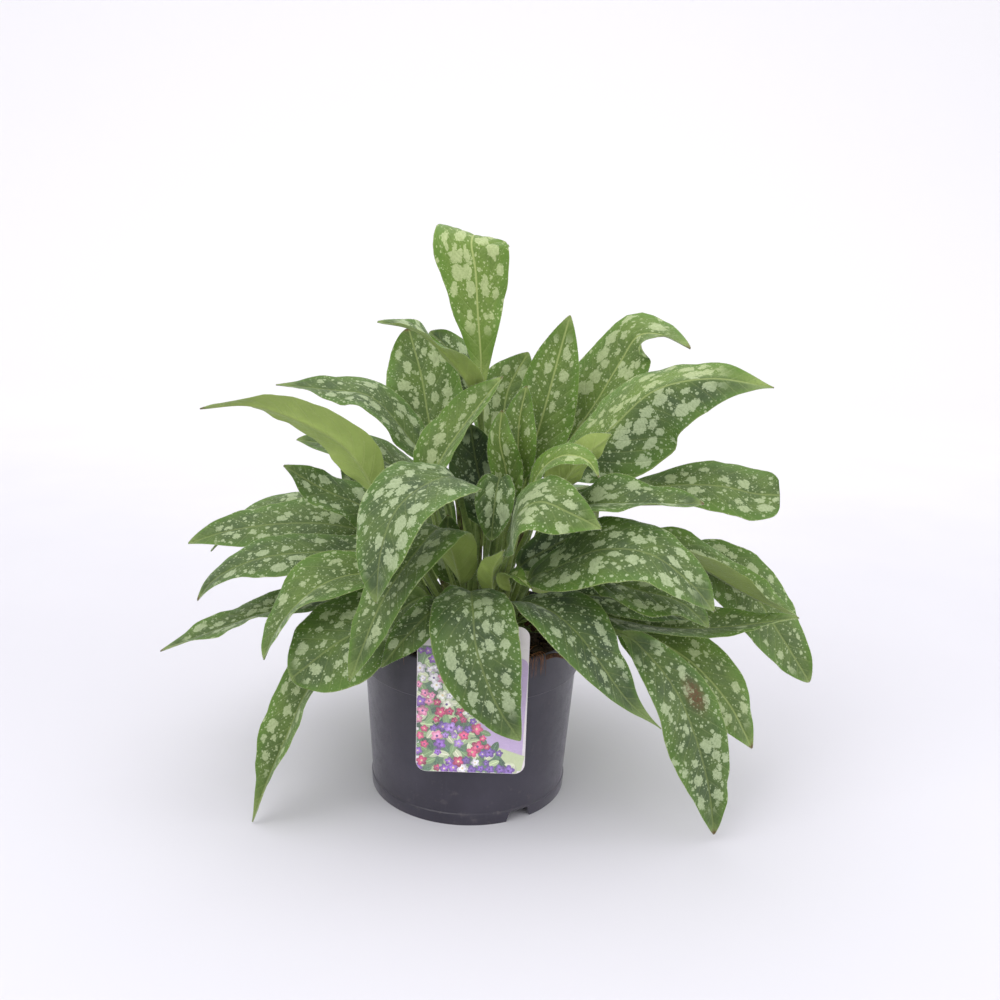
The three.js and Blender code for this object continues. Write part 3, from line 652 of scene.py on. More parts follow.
LEAVES = [
    Leaf("front_centre", -85, 65, [(0, -50, 193), (3, -98, 194), (7, -118, 171), (24, -126, 129),
         (43, -124, 99)], fold=10, belly=0.42, tone=0.78, silver=0.75),
    Leaf("low_left_broad", -150, 80, [(-37, -42, 184), (-63, -70, 178), (-100, -88, 163), (-140, -94, 131)],
         fold=8, belly=0.55, blunt=0.7, roll=(-30, -30), tone=0.6, silver=0.4),
    Leaf("low_left_hanging", -165, 57, [(-80, -40, 160), (-103, -52, 143), (-130, -72, 113), (-147, -86, 74),
         (-163, -92, 34), (-174, -94, 2)], fold=38, belly=0.4, blunt=1.1, roll=(-25, -25), tone=0.42,
         silver=0.55),
    Leaf("left_arching", 175, 58, [(-70, -36, 198), (-99, -53, 205), (-123, -65, 198), (-142, -74, 182),
         (-156, -80, 161), (-164, -82, 141)], fold=24, roll=(-28, -25), tone=0.45),
    Leaf("left_low_narrow", 175, 42, [(-107, -8, 170), (-143, -18, 166), (-187, -26, 155), (-228, -30, 139),
         (-263, -32, 124)], fold=24, roll=(-15, -10), tone=0.62, silver=0.55),
    Leaf("left_mid_lower", 178, 43, [(-75, -12, 210), (-120, -21, 214), (-177, -30, 209), (-213, -36, 192),
         (-228, -38, 173)], fold=10, roll=(-30, -30), tone=0.68, silver=0.55),
    Leaf("left_mid_upper", 178, 50, [(-72, 16, 211), (-117, 16, 226), (-167, 13, 227), (-213, 8, 220),
         (-246, 4, 209)], fold=10, roll=(-36, -36), tone=0.62, silver=0.45),
    Leaf("left_mid_back", 170, 42, [(-69, 62, 205), (-120, 68, 224), (-170, 66, 231), (-210, 60, 217),
         (-240, 52, 187)], fold=10, roll=(-15, -15), tone=0.6, silver=0.45),
    Leaf("left_young", 170, 24, [(-78, 46, 200), (-102, 50, 218), (-123, 48, 230), (-143, 46, 235)], fold=40,
         wave=1, roll=(-20, -20), tone=0.1, silver=0.3),
    Leaf("left_toothed", 165, 36, [(-68, 2, 228), (-95, -2, 249), (-126, -8, 264), (-158, -18, 286)], fold=8,
         wave=4, roll=(-35, -35), tone=0.72, silver=0.35),
    Leaf("left_short", 150, 34, [(-61, 24, 222), (-85, 28, 244), (-105, 30, 262), (-118, 28, 278)], fold=10,
         wave=3, roll=(-35, -35), tone=0.7, silver=0.35),
    Leaf("left_high_front", 195, 43, [(-80, -30, 269), (-90, -37, 291), (-105, -45, 312), (-137, -52, 331),
         (-175, -56, 343), (-214, -58, 339)], fold=20, belly=0.42, roll=(72, 10), tone=0.3, silver=0.4),
    Leaf("left_high_back", 172, 50, [(-35, 26, 272), (-57, 32, 300), (-93, 38, 336), (-131, 38, 341),
         (-173, 30, 345)], blunt=1.1, roll=(-20, -20), tone=0.62, silver=0.55),
    Leaf("left_high_hidden", 165, 50, [(-44, 60, 246), (-75, 68, 268), (-116, 70, 283), (-163, 66, 290)],
         fold=10, roll=(-20, -20), tone=0.6, silver=0.45),
    Leaf("upper_left_broad", 95, 66, [(-32, 54, 274), (-44, 64, 310), (-53, 78, 350), (-66, 92, 390)],
         fold=10, wave=2, belly=0.52, blunt=0.7, tone=0.42, silver=0.7),
    Leaf("top_left_arching", 190, 36, [(0, 22, 337), (-14, 9, 364), (-32, -4, 385), (-53, -20, 402),
         (-80, -28, 407)], fold=20, roll=(45, -25), tone=0.6, silver=0.75),
    Leaf("top_left_back", 100, 46, [(-10, 84, 305), (-18, 96, 335), (-29, 112, 367), (-49, 120, 384)],
         fold=12, belly=0.5, tone=0.7),
    Leaf("tall_top", 90, 62, [(2, 34, 342), (1, 37, 369), (-3, 40, 411), (-6, 42, 446), (-10, 46, 467),
         (-8, 60, 474), (-4, 74, 467)], fold=8, belly=0.8, blunt=0.85, roll=(0, 16), tone=0, silver=0.75),
    Leaf("centre_rising", 30, 54, [(-37, -14, 267), (-31, -12, 290), (-12, -8, 321), (5, -4, 344),
         (20, 0, 363)], fold=35, wave=1.5, belly=0.4, roll=(10, 10), tone=0.25, silver=0.45),
    Leaf("front_left_large", -140, 70, [(-12, -32, 274), (-16, -54, 290), (-34, -86, 293), (-56, -114, 278),
         (-65, -132, 251), (-67, -140, 214)], petiole=[(-1, -10, 220), (-10, -18, 257)], fold=12,
         roll=(-10, -10), tone=0.7, silver=0.68),
    Leaf("centre_cupped", -90, 39, [(20, -24, 283), (17, -41, 269), (15, -56, 239)], fold=40, wave=1.5,
         tone=0.72, silver=0.85),
    Leaf("centre_right_front", -35, 60, [(29, -60, 235), (36, -80, 270), (52, -94, 283), (74, -102, 277),
         (98, -104, 266)], fold=6, wave=2, belly=0.38, roll=(38, 38), silver=0.9),
    Leaf("centre_right_dark", -10, 32, [(39, -31, 209), (61, -42, 229), (88, -48, 246), (111, -52, 253)],
         fold=10, belly=0.5, roll=(62, 62), tone=0.9),
    Leaf("centre_young_pale", -60, 20, [(15, -50, 193), (17, -68, 221), (25, -84, 240)], fold=30, wave=1,
         tone=0.15, silver=0.15),
    Leaf("centre_young_small", -40, 16, [(30, -50, 196), (29, -58, 210), (36, -66, 213), (49, -72, 205)],
         fold=30, wave=1, tone=0.1, silver=0.1),
    Leaf("centre_dark", 100, 50, [(16, 8, 229), (7, 8, 260), (-1, 10, 291), (-6, 12, 320)], fold=18,
         belly=0.5, tone=0.95, silver=0.7),
    Leaf("centre_bright", 100, 30, [(28, -6, 260), (25, -10, 287), (19, -12, 312), (20, -6, 336)], fold=35,
         wave=1.5, tone=0.3, silver=0.4),
    Leaf("centre_upright", 85, 32, [(36, 4, 275), (35, 2, 297), (35, 6, 326), (40, 12, 354)], fold=30,
         wave=1.5, tone=0.3, silver=0.35),
    Leaf("right_upright", 80, 50, [(41, 20, 262), (45, 24, 286), (57, 30, 334), (68, 36, 382),
         (75, 38, 411)], fold=10, wave=2, tone=0.3, silver=0.45),
    Leaf("right_upright_back", 80, 54, [(27, 58, 289), (22, 64, 310), (25, 76, 340), (42, 90, 372)], fold=10,
         tone=0.35, silver=0.75),
    Leaf("right_high_curled", 20, 72, [(62, 32, 269), (69, 37, 286), (101, 46, 336), (121, 50, 372),
         (135, 48, 395), (154, 38, 397), (176, 24, 388)], roll=(25, 25), tone=0.3, silver=0.6),
    # this leaf's right half is painted darker as painted shade, its left half lighter as painted light
    Leaf("right_high_large", 5, 84, [(67, -14, 282), (79, -16, 300), (107, -20, 325), (141, -23, 359),
         (183, -27, 371), (235, -32, 366)], fold=-26, belly=0.38, blunt=1, roll=(44, 44), tone=0.42,
         silver=0.75, painted_half_shade=0.28),
    Leaf("right_mid_rounded", 0, 56, [(85, 6, 245), (122, 2, 267), (161, -2, 276), (206, -6, 278),
         (234, -8, 273), (254, -10, 273)], fold=8, belly=0.84, blunt=0.95, roll=(15, 45), tone=0.55,
         silver=0.6),
    Leaf("right_mid_front", -5, 58, [(71, -24, 252), (93, -46, 269), (131, -60, 275), (180, -70, 279)],
         fold=28, roll=(12, 12), tone=0.62, silver=0.6),
    Leaf("right_young_curled", -10, 26, [(45, -39, 278), (56, -50, 301), (72, -68, 314), (87, -77, 312),
         (96, -81, 300)], wave=1, roll=(20, 20), tone=0.05, silver=0.1),
    Leaf("right_pale_back", 10, 34, [(64, -30, 268), (75, -41, 294), (89, -46, 312), (107, -46, 327)],
         fold=20, roll=(-70, -70), tone=0.15, silver=0.2),
    Leaf("low_right_front", -15, 66, [(47, -54, 206), (67, -68, 222), (100, -89, 245), (136, -102, 247),
         (167, -108, 227), (187, -110, 205)], fold=8, roll=(30, 30), tone=0.68, silver=0.7),
    Leaf("low_right_dark", -5, 36, [(74, -26, 181), (107, -33, 187), (144, -40, 183), (181, -44, 172)],
         fold=10, roll=(30, 30), tone=0.8),
    Leaf("low_right_pointed", -10, 44, [(96, -58, 209), (134, -72, 207), (166, -80, 201), (189, -86, 183)],
         fold=10, roll=(25, 25), tone=0.62),
    Leaf("right_low_folded", -5, 60, [(120, -8, 221), (161, -14, 221), (192, -20, 211), (229, -26, 192),
         (275, -30, 172)], fold=42, tone=0.45),
    Leaf("right_low_long", -2, 48, [(95, -28, 173), (113, -34, 170), (158, -40, 164), (207, -44, 167),
         (270, -48, 179)], fold=24, roll=(12, 12)),
    Leaf("right_far_drooping", -40, 55, [(154, 12, 194), (195, 8, 209), (238, 2, 186), (269, -2, 145),
         (298, -4, 103)], fold=8, belly=0.52, blunt=0.75, roll=(35, 25)),
    Leaf("right_hanging_back", -25, 58, [(118, -14, 163), (143, -24, 154), (186, -42, 134), (217, -54, 104),
         (239, -60, 66)], fold=8, roll=(35, 35), tone=0.4, silver=0.55),
    Leaf("right_hanging_front", -40, 52, [(123, -66, 167), (145, -80, 154), (166, -90, 130), (182, -96, 97),
         (197, -98, 51), (205, -98, 7)], belly=0.5, blunt=0.95, roll=(30, 30), tone=0.72, silver=0.6,
         scorch=(0.38, -0.45, 0.06)),
    Leaf("front_right", -50, 60, [(39, -55, 187), (63, -81, 191), (85, -99, 179), (102, -108, 160),
         (127, -111, 128), (153, -112, 107)], fold=20, belly=0.32, blunt=1.25, roll=(8, 8), tone=0.85,
         silver=0.42),
    Leaf("front_left_hanging", -120, 52, [(-8, -28, 193), (-25, -56, 248), (-45, -94, 236), (-66, -116, 206),
         (-80, -124, 170), (-89, -126, 145)], belly=0.42, tone=0.55, silver=0.6),
    Leaf("front_left_dark", -130, 28, [(-17, -60, 185), (-29, -88, 190), (-49, -105, 173), (-66, -114, 152)],
         fold=8, roll=(-20, -20), tone=0.7),
    Leaf("back_high_right", 60, 58, [(25, 45, 215), (60, 110, 245), (95, 175, 215), (120, 225, 150)],
         silver=0.55),
    Leaf("back_high_centre", 90, 60, [(9, 50, 226), (5, 120, 252), (0, 188, 214), (-5, 228, 130)], tone=0.4,
         silver=0.6),
    Leaf("back_high_left", 120, 56, [(-24, 54, 196), (-60, 112, 238), (-95, 165, 205), (-125, 215, 140)],
         tone=0.55),
    Leaf("back_side_right", 36, 56, [(50, 35, 192), (110, 80, 212), (165, 125, 182), (200, 160, 120)],
         tone=0.6, silver=0.55),
    Leaf("back_side_left", 145, 56, [(-32, 58, 182), (-86, 112, 202), (-142, 150, 176), (-180, 176, 115)],
         silver=0.6),
    Leaf("back_low_right", 72, 60, [(22, 62, 172), (46, 120, 184), (62, 172, 150), (70, 206, 86)], tone=0.6),
    Leaf("back_low_left", 106, 60, [(-12, 62, 172), (-34, 125, 184), (-50, 178, 150), (-58, 212, 86)],
         tone=0.55),
    Leaf("back_low_centre", 90, 58, [(4, 66, 163), (6, 118, 165), (4, 165, 128), (2, 196, 72)], tone=0.7),
    Leaf("centre_left_short", 110, 30, [(-17, 7, 181), (-22, 6, 201), (-23, 6, 221), (-23, 6, 242)], fold=10,
         wave=1, tone=0.6, silver=0.45),
]

CROWN_CENTRE = np.array([5.0, 2.0])
FOOT_Z = 146.0
FOOT_SPACING = 7.0
FOOT_SPREAD = 4.3
FOOT_ROUNDS = 120
PUSH = 0.3


def leaf_feet(leaves: list[Leaf]) -> Array:
    """Where each leaf stands in the crown.

    The more upright a leaf, the nearer the middle: at rank k its foot lies at 4.3 sqrt(k + 0.4) on the
    leaf's own side. Feet nearer than the spacing are then pushed apart, round after round.

    Args:
        leaves: the leaves in order.

    Returns:
        The feet, shape (leaves, 3).
    """
    necks = np.array([leaf.neck for leaf in leaves], float)
    away = necks[:, :2] - CROWN_CENTRE
    aim = np.arctan2(away[:, 1], away[:, 0])
    lean = np.arctan2(np.hypot(away[:, 0], away[:, 1]), np.maximum(necks[:, 2] - FOOT_Z, 1))
    rank = np.empty(len(leaves))
    rank[np.argsort(lean, kind="stable")] = np.arange(len(leaves))
    radius = FOOT_SPREAD * np.sqrt(rank + 0.4)
    feet = np.stack([radius * np.cos(aim), radius * np.sin(aim)], -1)
    pairs = [(index, other) for index in range(1, len(feet)) for other in range(index)]
    for index, other in FOOT_ROUNDS * pairs:
        between = feet[index] - feet[other]
        distance = math.hypot(between[0], between[1])
        if distance < FOOT_SPACING:
            step = PUSH * (FOOT_SPACING - distance) * between
            feet[index] += step
            feet[other] -= step
    return np.column_stack([feet + CROWN_CENTRE, np.full(len(feet), FOOT_Z)])


@dataclass
class LeafForm:
    """The fine skin of one leaf: a top and a bottom face carried along petiole and midrib.

    At share q of the blade its half width is h(q) = (1 - q) neck + q tip + width / 2 * s(q), where
    s = q^rise (1 - q)^fall over its peak. At column u from -1 to 1 the top face lies u h cos(fold) to
    the side and |u| h sin(fold) - curl h u^2 + wave u^2 sin(...) up.
    """

    leaf: Leaf
    index: int
    foot: Array

    petiole_half: float = 1.9
    neck_half: float = 2.8
    tip_half: float = 0.5
    opening_rate: float = 1.6
    petiole_fold: float = 25.0
    golden_angle: float = 2.4
    side_lag: float = 1.1
    unevenness: float = 0.03
    uneven_cell: float = 17.0
    rib_depths: tuple[float, float, float] = (3.2, 2.0, 0.8)
    rib_bend: float = 0.3
    blade_depth: float = 0.7
    margin_depth: float = 0.3
    vein_spacing: float = 13.0
    vein_slant: float = 1.25
    vein_stretch: float = 1.6
    vein_width: float = 1.3
    vein_depth: float = 0.32
    vein_puff: float = 0.22
    groove_depth: float = 0.45
    groove_width: float = 1.1
    swell_cell: float = 26.0
    ripple: float = 1.3
    ripple_cell: float = 11.0
    hair_density: float = 1.1
    hair_limits: tuple[int, int] = (60, 190)
    hair_lean: float = 0.45
    hair_lengths: tuple[float, float] = (0.7, 1.5)
    hair_radius: float = 0.06
    stem_hairs: int = 90
    stem_lengths: tuple[float, float] = (0.6, 1.3)
    span_points: int = 60
    petiole_rows: int = 9
    blade_rows: int = 58
    half_columns: int = 14
    crowding: float = 0.7
    column_power: float = 1.25

    def __post_init__(self) -> None:
        """Works out the rows and columns of the grid, and what is known at each row.

        The stalk's share runs from 0 at the foot to 1 at the neck and the blade's from 0 at the neck to
        1 at the tip, with rows crowded at both ends. The column runs from -1 to 1 across the leaf.
        """
        self.random = np.random.default_rng(SEED * 1000 + self.index)
        even = np.linspace(0, 1, self.blade_rows)
        blade = even - self.crowding * np.sin(2 * np.pi * even) / (2 * np.pi)
        stalk = np.arange(self.petiole_rows) / self.petiole_rows
        self.stalk = np.concatenate([stalk, np.ones(self.blade_rows)])[:, None]
        self.blade = np.concatenate([np.zeros(self.petiole_rows), blade])[:, None]
        out = np.sin(np.linspace(0, np.pi / 2, self.half_columns + 1)) ** self.column_power
        self.column = np.concatenate([-out[:0:-1], out])
        self.centre, self.up, self.side, self.along = self.midline()
        self.half, self.opening = self.outline()
        uneven = rough(self.along + 50 * np.sign(self.column), 0 * self.column, self.uneven_cell, self.index)
        uneven = 1 + self.unevenness * self.opening * np.sign(self.column) * uneven
        self.across = self.column * self.half * uneven

    def midline(self) -> tuple[Array, Array, Array, Array]:
        """The leaf's middle, with the directions up and aside of it turned about it by the roll.

        Returns:
            The midline, up and side, each of shape (rows, 3), and the length past the neck by row.
        """
        leaf = self.leaf
        line, length = curve_points([tuple(self.foot), *leaf.petiole, *leaf.midrib], self.span_points)
        neck = length[self.span_points * (len(leaf.petiole) + 1)] / length[-1]
        share = (neck * self.stalk + (1 - neck) * self.blade)[:, 0]
        centre, ahead, behind = (along_curve(line, length, share + step) for step in (0, 0.002, -0.002))
        tangent = unit(ahead - behind)
        heading = math.radians(leaf.heading)
        low, high = leaf.roll
        roll = np.radians(low + (high - low) * self.blade)
        level = unit(np.cross([math.sin(heading), -math.cos(heading), 0.0], tangent))
        up = level * np.cos(roll) + np.cross(tangent, level) * np.sin(roll)
        return centre, up, np.cross(tangent, up), ((share - neck) * length[-1])[:, None]

    def outline(self) -> tuple[Array, Array]:
        """How wide and how open the leaf is.

        Returns:
            The half width in millimetres at every row, and 0 for petiole to 1 for open blade.
        """
        leaf, blade = self.leaf, self.blade
        fall = 2 * (1 - leaf.belly) * leaf.blunt
        rise = fall * leaf.belly / (1 - leaf.belly)
        peak = leaf.belly**rise * (1 - leaf.belly) ** fall
        shape = blade**rise * (1 - blade) ** fall / peak
        neck = self.petiole_half + (self.neck_half - self.petiole_half) * self.stalk
        half = neck * (1 - blade) + self.tip_half * blade + leaf.width / 2 * shape
        return half, np.minimum(self.opening_rate * shape, 1)

    def relief(self) -> Array:
        """What the fine surface adds to the smooth one: veins sunk, the fields between them puffed.

        A side vein leaves the midrib every spacing s and runs forward with slant k, so its phase is
        (along - k |across|) / s, in the right half moved on by a half, and the distance d square to it
        is that along the leaf over the stretch. It is sunk by depth exp(-(d / width)^2), and a broad
        noise of 1 mm and a ripple towards the margins are laid over it.

        Returns:
            The lift of every point, in millimetres.
        """
        across, reach, seed = self.across, np.abs(self.column), 40 + self.index
        phase = (self.along - self.vein_slant * np.abs(across)) / self.vein_spacing + 0.5 * (across > 0)
        off = (phase - np.round(phase)) * self.vein_spacing / self.vein_stretch
        between = np.clip(4 * reach * (1 - reach), 0, 1)
        veins = -self.vein_depth * np.exp(-((off / self.vein_width) ** 2)) * between
        puff = self.vein_puff * np.cos(2 * np.pi * (phase - 0.5)) * between
        broad = rough(self.along, across, self.swell_cell, seed, 2) * np.minimum(1.5 * reach, 1)
        hand = np.where(across > 0, 1, -1)
        fold = value_noise(self.along / self.ripple_cell + 9 * hand, 0 * across, seed + 400)
        groove = -self.groove_depth * np.exp(-((across / self.groove_width) ** 2))
        return (veins + puff + broad + self.ripple * fold * reach**3 + groove) * self.opening

    def depth(self) -> Array:
        """A round rib under a thin blade.

        Returns:
            The thickness at every point, in millimetres.
        """
        first, second, last = self.rib_depths
        rib = np.interp(self.blade, [0, self.rib_bend], [first, second])
        rib = rib + (last - rib) * np.maximum(self.blade - self.rib_bend, 0) / (1 - self.rib_bend)
        reach = np.minimum(np.abs(self.across) / self.half, 1)
        stalk = self.margin_depth + (rib - self.margin_depth) * np.sqrt(np.clip(1 - reach**2, 0, 1))
        thin = self.margin_depth + (self.blade_depth - self.margin_depth) * (1 - reach**4)
        breadth = 1.0 + 0.45 * rib
        blade = thin + np.maximum(rib - self.blade_depth, 0) * np.exp(-((self.across / breadth) ** 2))
        return stalk + (blade - stalk) * self.opening

    def skin(self) -> tuple[Shape, Array, Array]:
        """The closed shell with its values.

        Returns:
            The shape in triangles, and the top and bottom grids of shape (rows, columns, 3).
        """
        leaf, half, opening, reach = self.leaf, self.half, self.opening, np.abs(self.column)
        fold = np.radians(leaf.fold * opening + self.petiole_fold * (1 - opening))
        swing = np.sin(2 * np.pi * leaf.waves * self.blade + self.index * self.golden_angle
                       + np.where(self.column > 0, 1, -1) * self.side_lag)
        lift = reach * half * np.sin(fold) - leaf.curl * half * reach**2 * opening
        lift = lift + leaf.wave * opening * reach**2 * swing + self.relief()
        flat = self.across * np.cos(fold)
        up = self.up[:, None]
        top = self.centre[:, None] + self.side[:, None] * flat[..., None] + up * lift[..., None]
        bottom = top - up * self.depth()[..., None]
        points = np.concatenate([top.reshape(-1, 3), bottom.reshape(-1, 3)])
        return Shape(points, self.shell_faces(), self.values()), top, bottom

    def shell_faces(self) -> NDArray[np.int64]:
        """The closed skin, whose top points come before its bottom points.

        Returns:
            One row of three corner numbers for each triangle.
        """
        rows, columns = self.across.shape
        grid = np.arange(rows * columns).reshape(rows, columns)
        low = grid + rows * columns
        ring = np.concatenate([grid, low[:, ::-1]], 1)
        around = np.roll(ring, -1, axis=1)
        quads = [np.stack([ring[:-1], around[:-1], around[1:], ring[1:]], -1).reshape(-1, 4)]
        for row, turn in ((0, 1), (rows - 1, -1)):
            cap = np.stack([grid[row, :-1], low[row, :-1], low[row, 1:], grid[row, 1:]], -1)
            quads.append(cap[:, ::turn])
        whole = np.concatenate(quads)
        return np.concatenate([whole[:, [0, 1, 2]], whole[:, [0, 2, 3]]])

    def values(self) -> dict[str, Array]:
        """What the material reads: the place on the leaf and the leaf's traits, among them its tone with the
        painted half shade.

        Returns:
            Values by name for every point, top points first.
        """
        parts = (self.along, self.across, self.blade, self.column, self.opening)
        along, across, blade, column, opening = (
            np.tile(np.broadcast_to(part, self.across.shape).ravel(), 2) for part in parts
        )
        count = len(across)
        # tone with painted shade on the right half and painted light on the left, by the painted half shade
        tone = self.leaf.tone + self.leaf.painted_half_shade * np.clip(4 * column, -1, 1)
        return {
            "place": np.column_stack([along, across]),
            "section": np.column_stack([blade, column, np.repeat([1.0, 0.0], count // 2)]),
            "trait": np.column_stack([tone, np.full(count, self.leaf.silver), opening]),
            "offset": np.tile(self.random.uniform(0, 900, 3), (count, 1)),
            "hair": np.zeros(count),
            "scorch": self.scorched(blade, column),
        }

    def scorched(self, blade: Array, column: Array) -> Array:
        """How brown each place is: the tips of some leaves, and the leaf's own patch.

        Args:
            blade: the blade's share at every point.
            column: the column at every point.

        Returns:
            Values from 0 to 1.
        """
        share, place, size = self.leaf.scorch
        tip = np.clip((blade - 1 + self.random.choice([0.0, 0.012, 0.03])) / 0.02, 0, 1)
        away = np.hypot((blade - share) / max(size, 1e-6), (column - place) / max(4 * size, 1e-6))
        return np.maximum(tip, np.clip(1.5 - away, 0, 1) * (size > 0))

    def hairs(self, skin: Shape, top: Array, bottom: Array) -> Shape:
        """Stiff short hairs along both margins, on the petiole and under the midrib.

        The hairs of the margins lean outwards and a little forward, the others away from the top face.

        Args:
            skin: the leaf's skin, which lends its values.
            top: the upper grid.
            bottom: the lower grid.

        Returns:
            The hairs as one shape.
        """
        random = self.random
        rows, columns, _ = top.shape
        span = np.linalg.norm(np.diff(top[:, 0], axis=0), axis=1).sum()
        count = 2 * int(np.clip(span * self.hair_density, *self.hair_limits))
        row = random.uniform(self.petiole_rows, rows - 1.01, count)
        edge = np.repeat([0, columns - 1], count // 2)
        low, share = row.astype(int), (row % 1)[:, None]
        root = top[low, edge] * (1 - share) + top[low + 1, edge] * share
        outward = unit(top[low, edge] - top[low, np.where(edge == 0, 1, columns - 2)])
        forward = unit(top[low + 1, edge] - top[low, edge])
        aim = unit(outward + self.hair_lean * forward + random.normal(0, 0.25, (count, 3)))
        aim = aim * random.uniform(*self.hair_lengths, (count, 1))

        stem_row = random.integers(1, self.petiole_rows + rows // 3, self.stem_hairs)
        wide = np.where(stem_row < self.petiole_rows, columns, 5)
        middle = columns // 2
        stem_column = middle + ((random.random(self.stem_hairs) - 0.5) * (wide - 1)).astype(int)
        stem_root = bottom[stem_row, stem_column]
        away = unit(stem_root - top[stem_row, middle])
        stem_aim = unit(away + random.normal(0, 0.3, (self.stem_hairs, 3)))
        stem_aim = stem_aim * random.uniform(*self.stem_lengths, (self.stem_hairs, 1))

        source = np.concatenate([low * columns + edge, (rows + stem_row) * columns + stem_column])
        made = bristles(np.concatenate([root, stem_root]), np.concatenate([aim, stem_aim]), self.hair_radius)
        made.values = {key: np.repeat(value[source], 4, axis=0) for key, value in skin.values.items()}
        made.values["hair"] = np.tile([0.6, 0.6, 0.6, 1.0], len(source))
        return made

    def build(self, material: Material) -> Object:
        """Makes the leaf's object and hands it over to the frame.

        Args:
            material: the leaf material.

        Returns:
            The finished piece.
        """
        skin, top, bottom = self.skin()
        made = make_object("blade_" + self.leaf.name, joined([skin, self.hairs(skin, top, bottom)]))
        return dress(made, material, Slot.LEAF, "leaf_" + self.leaf.name)


@dataclass(frozen=True)
class LeafFinish(Finish):
    """Living lungwort leaf: a soft green blade with air-filled pale blotches and short stiff hairs."""

    name: str = "lungwort_leaf"
    roughness: float = 0.52
    refraction: float = 1.42
    bump: tuple[float, float] = (0.55, 0.8)
    sheen: tuple[float, float, str] = (0.22, 0.4, "dfe8df")
    fresh: str = "6b8534"
    dark: str = "374a2d"
    blotch_fresh: str = "b0bd85"
    blotch_dark: str = "a0b08d"
    under: str = "97ac57"
    rib: str = "a5b36c"
    margin: str = "557d1f"
    stalk_fresh: str = "8fa257"
    stalk_dark: str = "6c8148"
    stalk_spot: str = "55683a"
    hair: str = "d5dcc6"
    brown: str = "5e4427"
    blotches: SpotLayer = SpotLayer(15.0, 10.5, 4.2, 0.26, -0.06, 0.46)
    spots: SpotLayer = SpotLayer(6.6, 5.6, 1.2, 0.7, -0.26, 0.33)
    dots: SpotLayer = SpotLayer(3.6, 3.2, 0.3, 1.4, -0.02, 0.27)

    def pattern(self, add: Add) -> Look:
        """Greens with pale spots above, plain fresh green below and on the stalk, and grooved veins.

        Args:
            add: adds a node to the material.

        Returns:
            Colour, roughness and height.
        """
        place = add(Node.UV, uv_map="place")
        keys = ("section", "trait", "offset")
        section, trait, offset = (add(Node.VECTOR, attribute_name=key) for key in keys)
        hair, scorch = (add(Node.VALUE, attribute_name=key) for key in ("hair", "scorch"))
        _, across, upper_side = add(Node.PARTS, section).node.outputs
        # tone is the leaf's own tone plus its painted half shade
        tone, silver, opening = add(Node.PARTS, trait).node.outputs
        column = add(Node.AMOUNT, across)
        shifted = add(Node.SHIFTED, place, offset)

        spots = self.spotted(add, shifted, column, silver)
        rib_line, vein_line = self.veins(add, place)
        spots = add(Node.PRODUCT, spots, add(Node.STEP, rib_line, 0.1, 0.6, 1, 0))
        spots = add(Node.PRODUCT, spots, add(Node.STEP, opening, 0.5, 0.95, 0, 1))

        broad = add(Node.NOISE, shifted, 0.045, 3, self.fineness)
        mottle = add(Node.NOISE, shifted, 0.6, 3, self.fineness)
        shade = add(Node.SUM, tone, add(Node.STEP, broad, 0.3, 0.7, -0.16, 0.16))
        green = add(Node.MIX, shade, self.fresh, self.dark)
        green = add(Node.OVERLAY, add(Node.STEP, mottle, 0.35, 0.7, 0, 0.3), green, self.fresh)
        outer = add(Node.STEP, column, 0.5, 1, 0, 0.6)
        outer = add(Node.PRODUCT, outer, add(Node.STEP, tone, 0.3, 1, 1, 0.6))
        green = add(Node.MIX, outer, green, self.margin)
        green = add(Node.MIX, add(Node.PRODUCT, vein_line, 0.12), green, self.rib)
        pale = add(Node.MIX, tone, self.blotch_fresh, self.blotch_dark)
        pale = add(Node.MIX, add(Node.STEP, mottle, 0.3, 0.75, 0, 0.35), pale, green)
        upper = add(Node.MIX, add(Node.PRODUCT, spots, 0.92), green, pale)
        edge = add(Node.STEP, column, 0.965, 1.0, 0, 0.4)
        rib_share = add(Node.PRODUCT, rib_line, add(Node.STEP, tone, 0.1, 0.65, 0.85, 0.22))
        upper = add(Node.MIX, add(Node.LARGER, edge, rib_share), upper, self.rib)

        under = add(Node.MIX, add(Node.STEP, broad, 0.3, 0.7, 0, 0.16), self.under, self.dark)
        under = add(Node.MIX, add(Node.PRODUCT, spots, 0.18), under, self.rib)
        lines = add(Node.LARGER, rib_line, add(Node.PRODUCT, vein_line, 0.3))
        under = add(Node.MIX, add(Node.PRODUCT, lines, 0.5), under, self.rib)
        colour = add(Node.MIX, upper_side, under, upper)
        stalk = add(Node.MIX, tone, self.stalk_fresh, self.stalk_dark)
        stalk = add(Node.MIX, add(Node.STEP, mottle, 0.45, 0.75, 0, 0.5), stalk, self.stalk_spot)
        colour = add(Node.MIX, add(Node.STEP, opening, 0.05, 0.5, 1, 0), colour, stalk)
        brown = add(Node.PRODUCT, scorch, add(Node.STEP, mottle, 0.3, 0.6, 0.2, 1))
        colour = add(Node.MIX, brown, colour, self.brown)
        colour = add(Node.MIX, hair, colour, self.hair)

        height = add(Node.PRODUCT_SUM, vein_line, -0.5, add(Node.NOISE, shifted, 0.42, 4, self.fineness))
        height = add(Node.PRODUCT_SUM, rib_line, -0.5, height)
        height = add(Node.PRODUCT_SUM, add(Node.NOISE, shifted, 1.7, 3, self.fineness), 0.35, height)
        gloss = add(Node.STEP, mottle, 0.3, 0.7, self.roughness - 0.08, self.roughness + 0.1)
        return colour, gloss, height

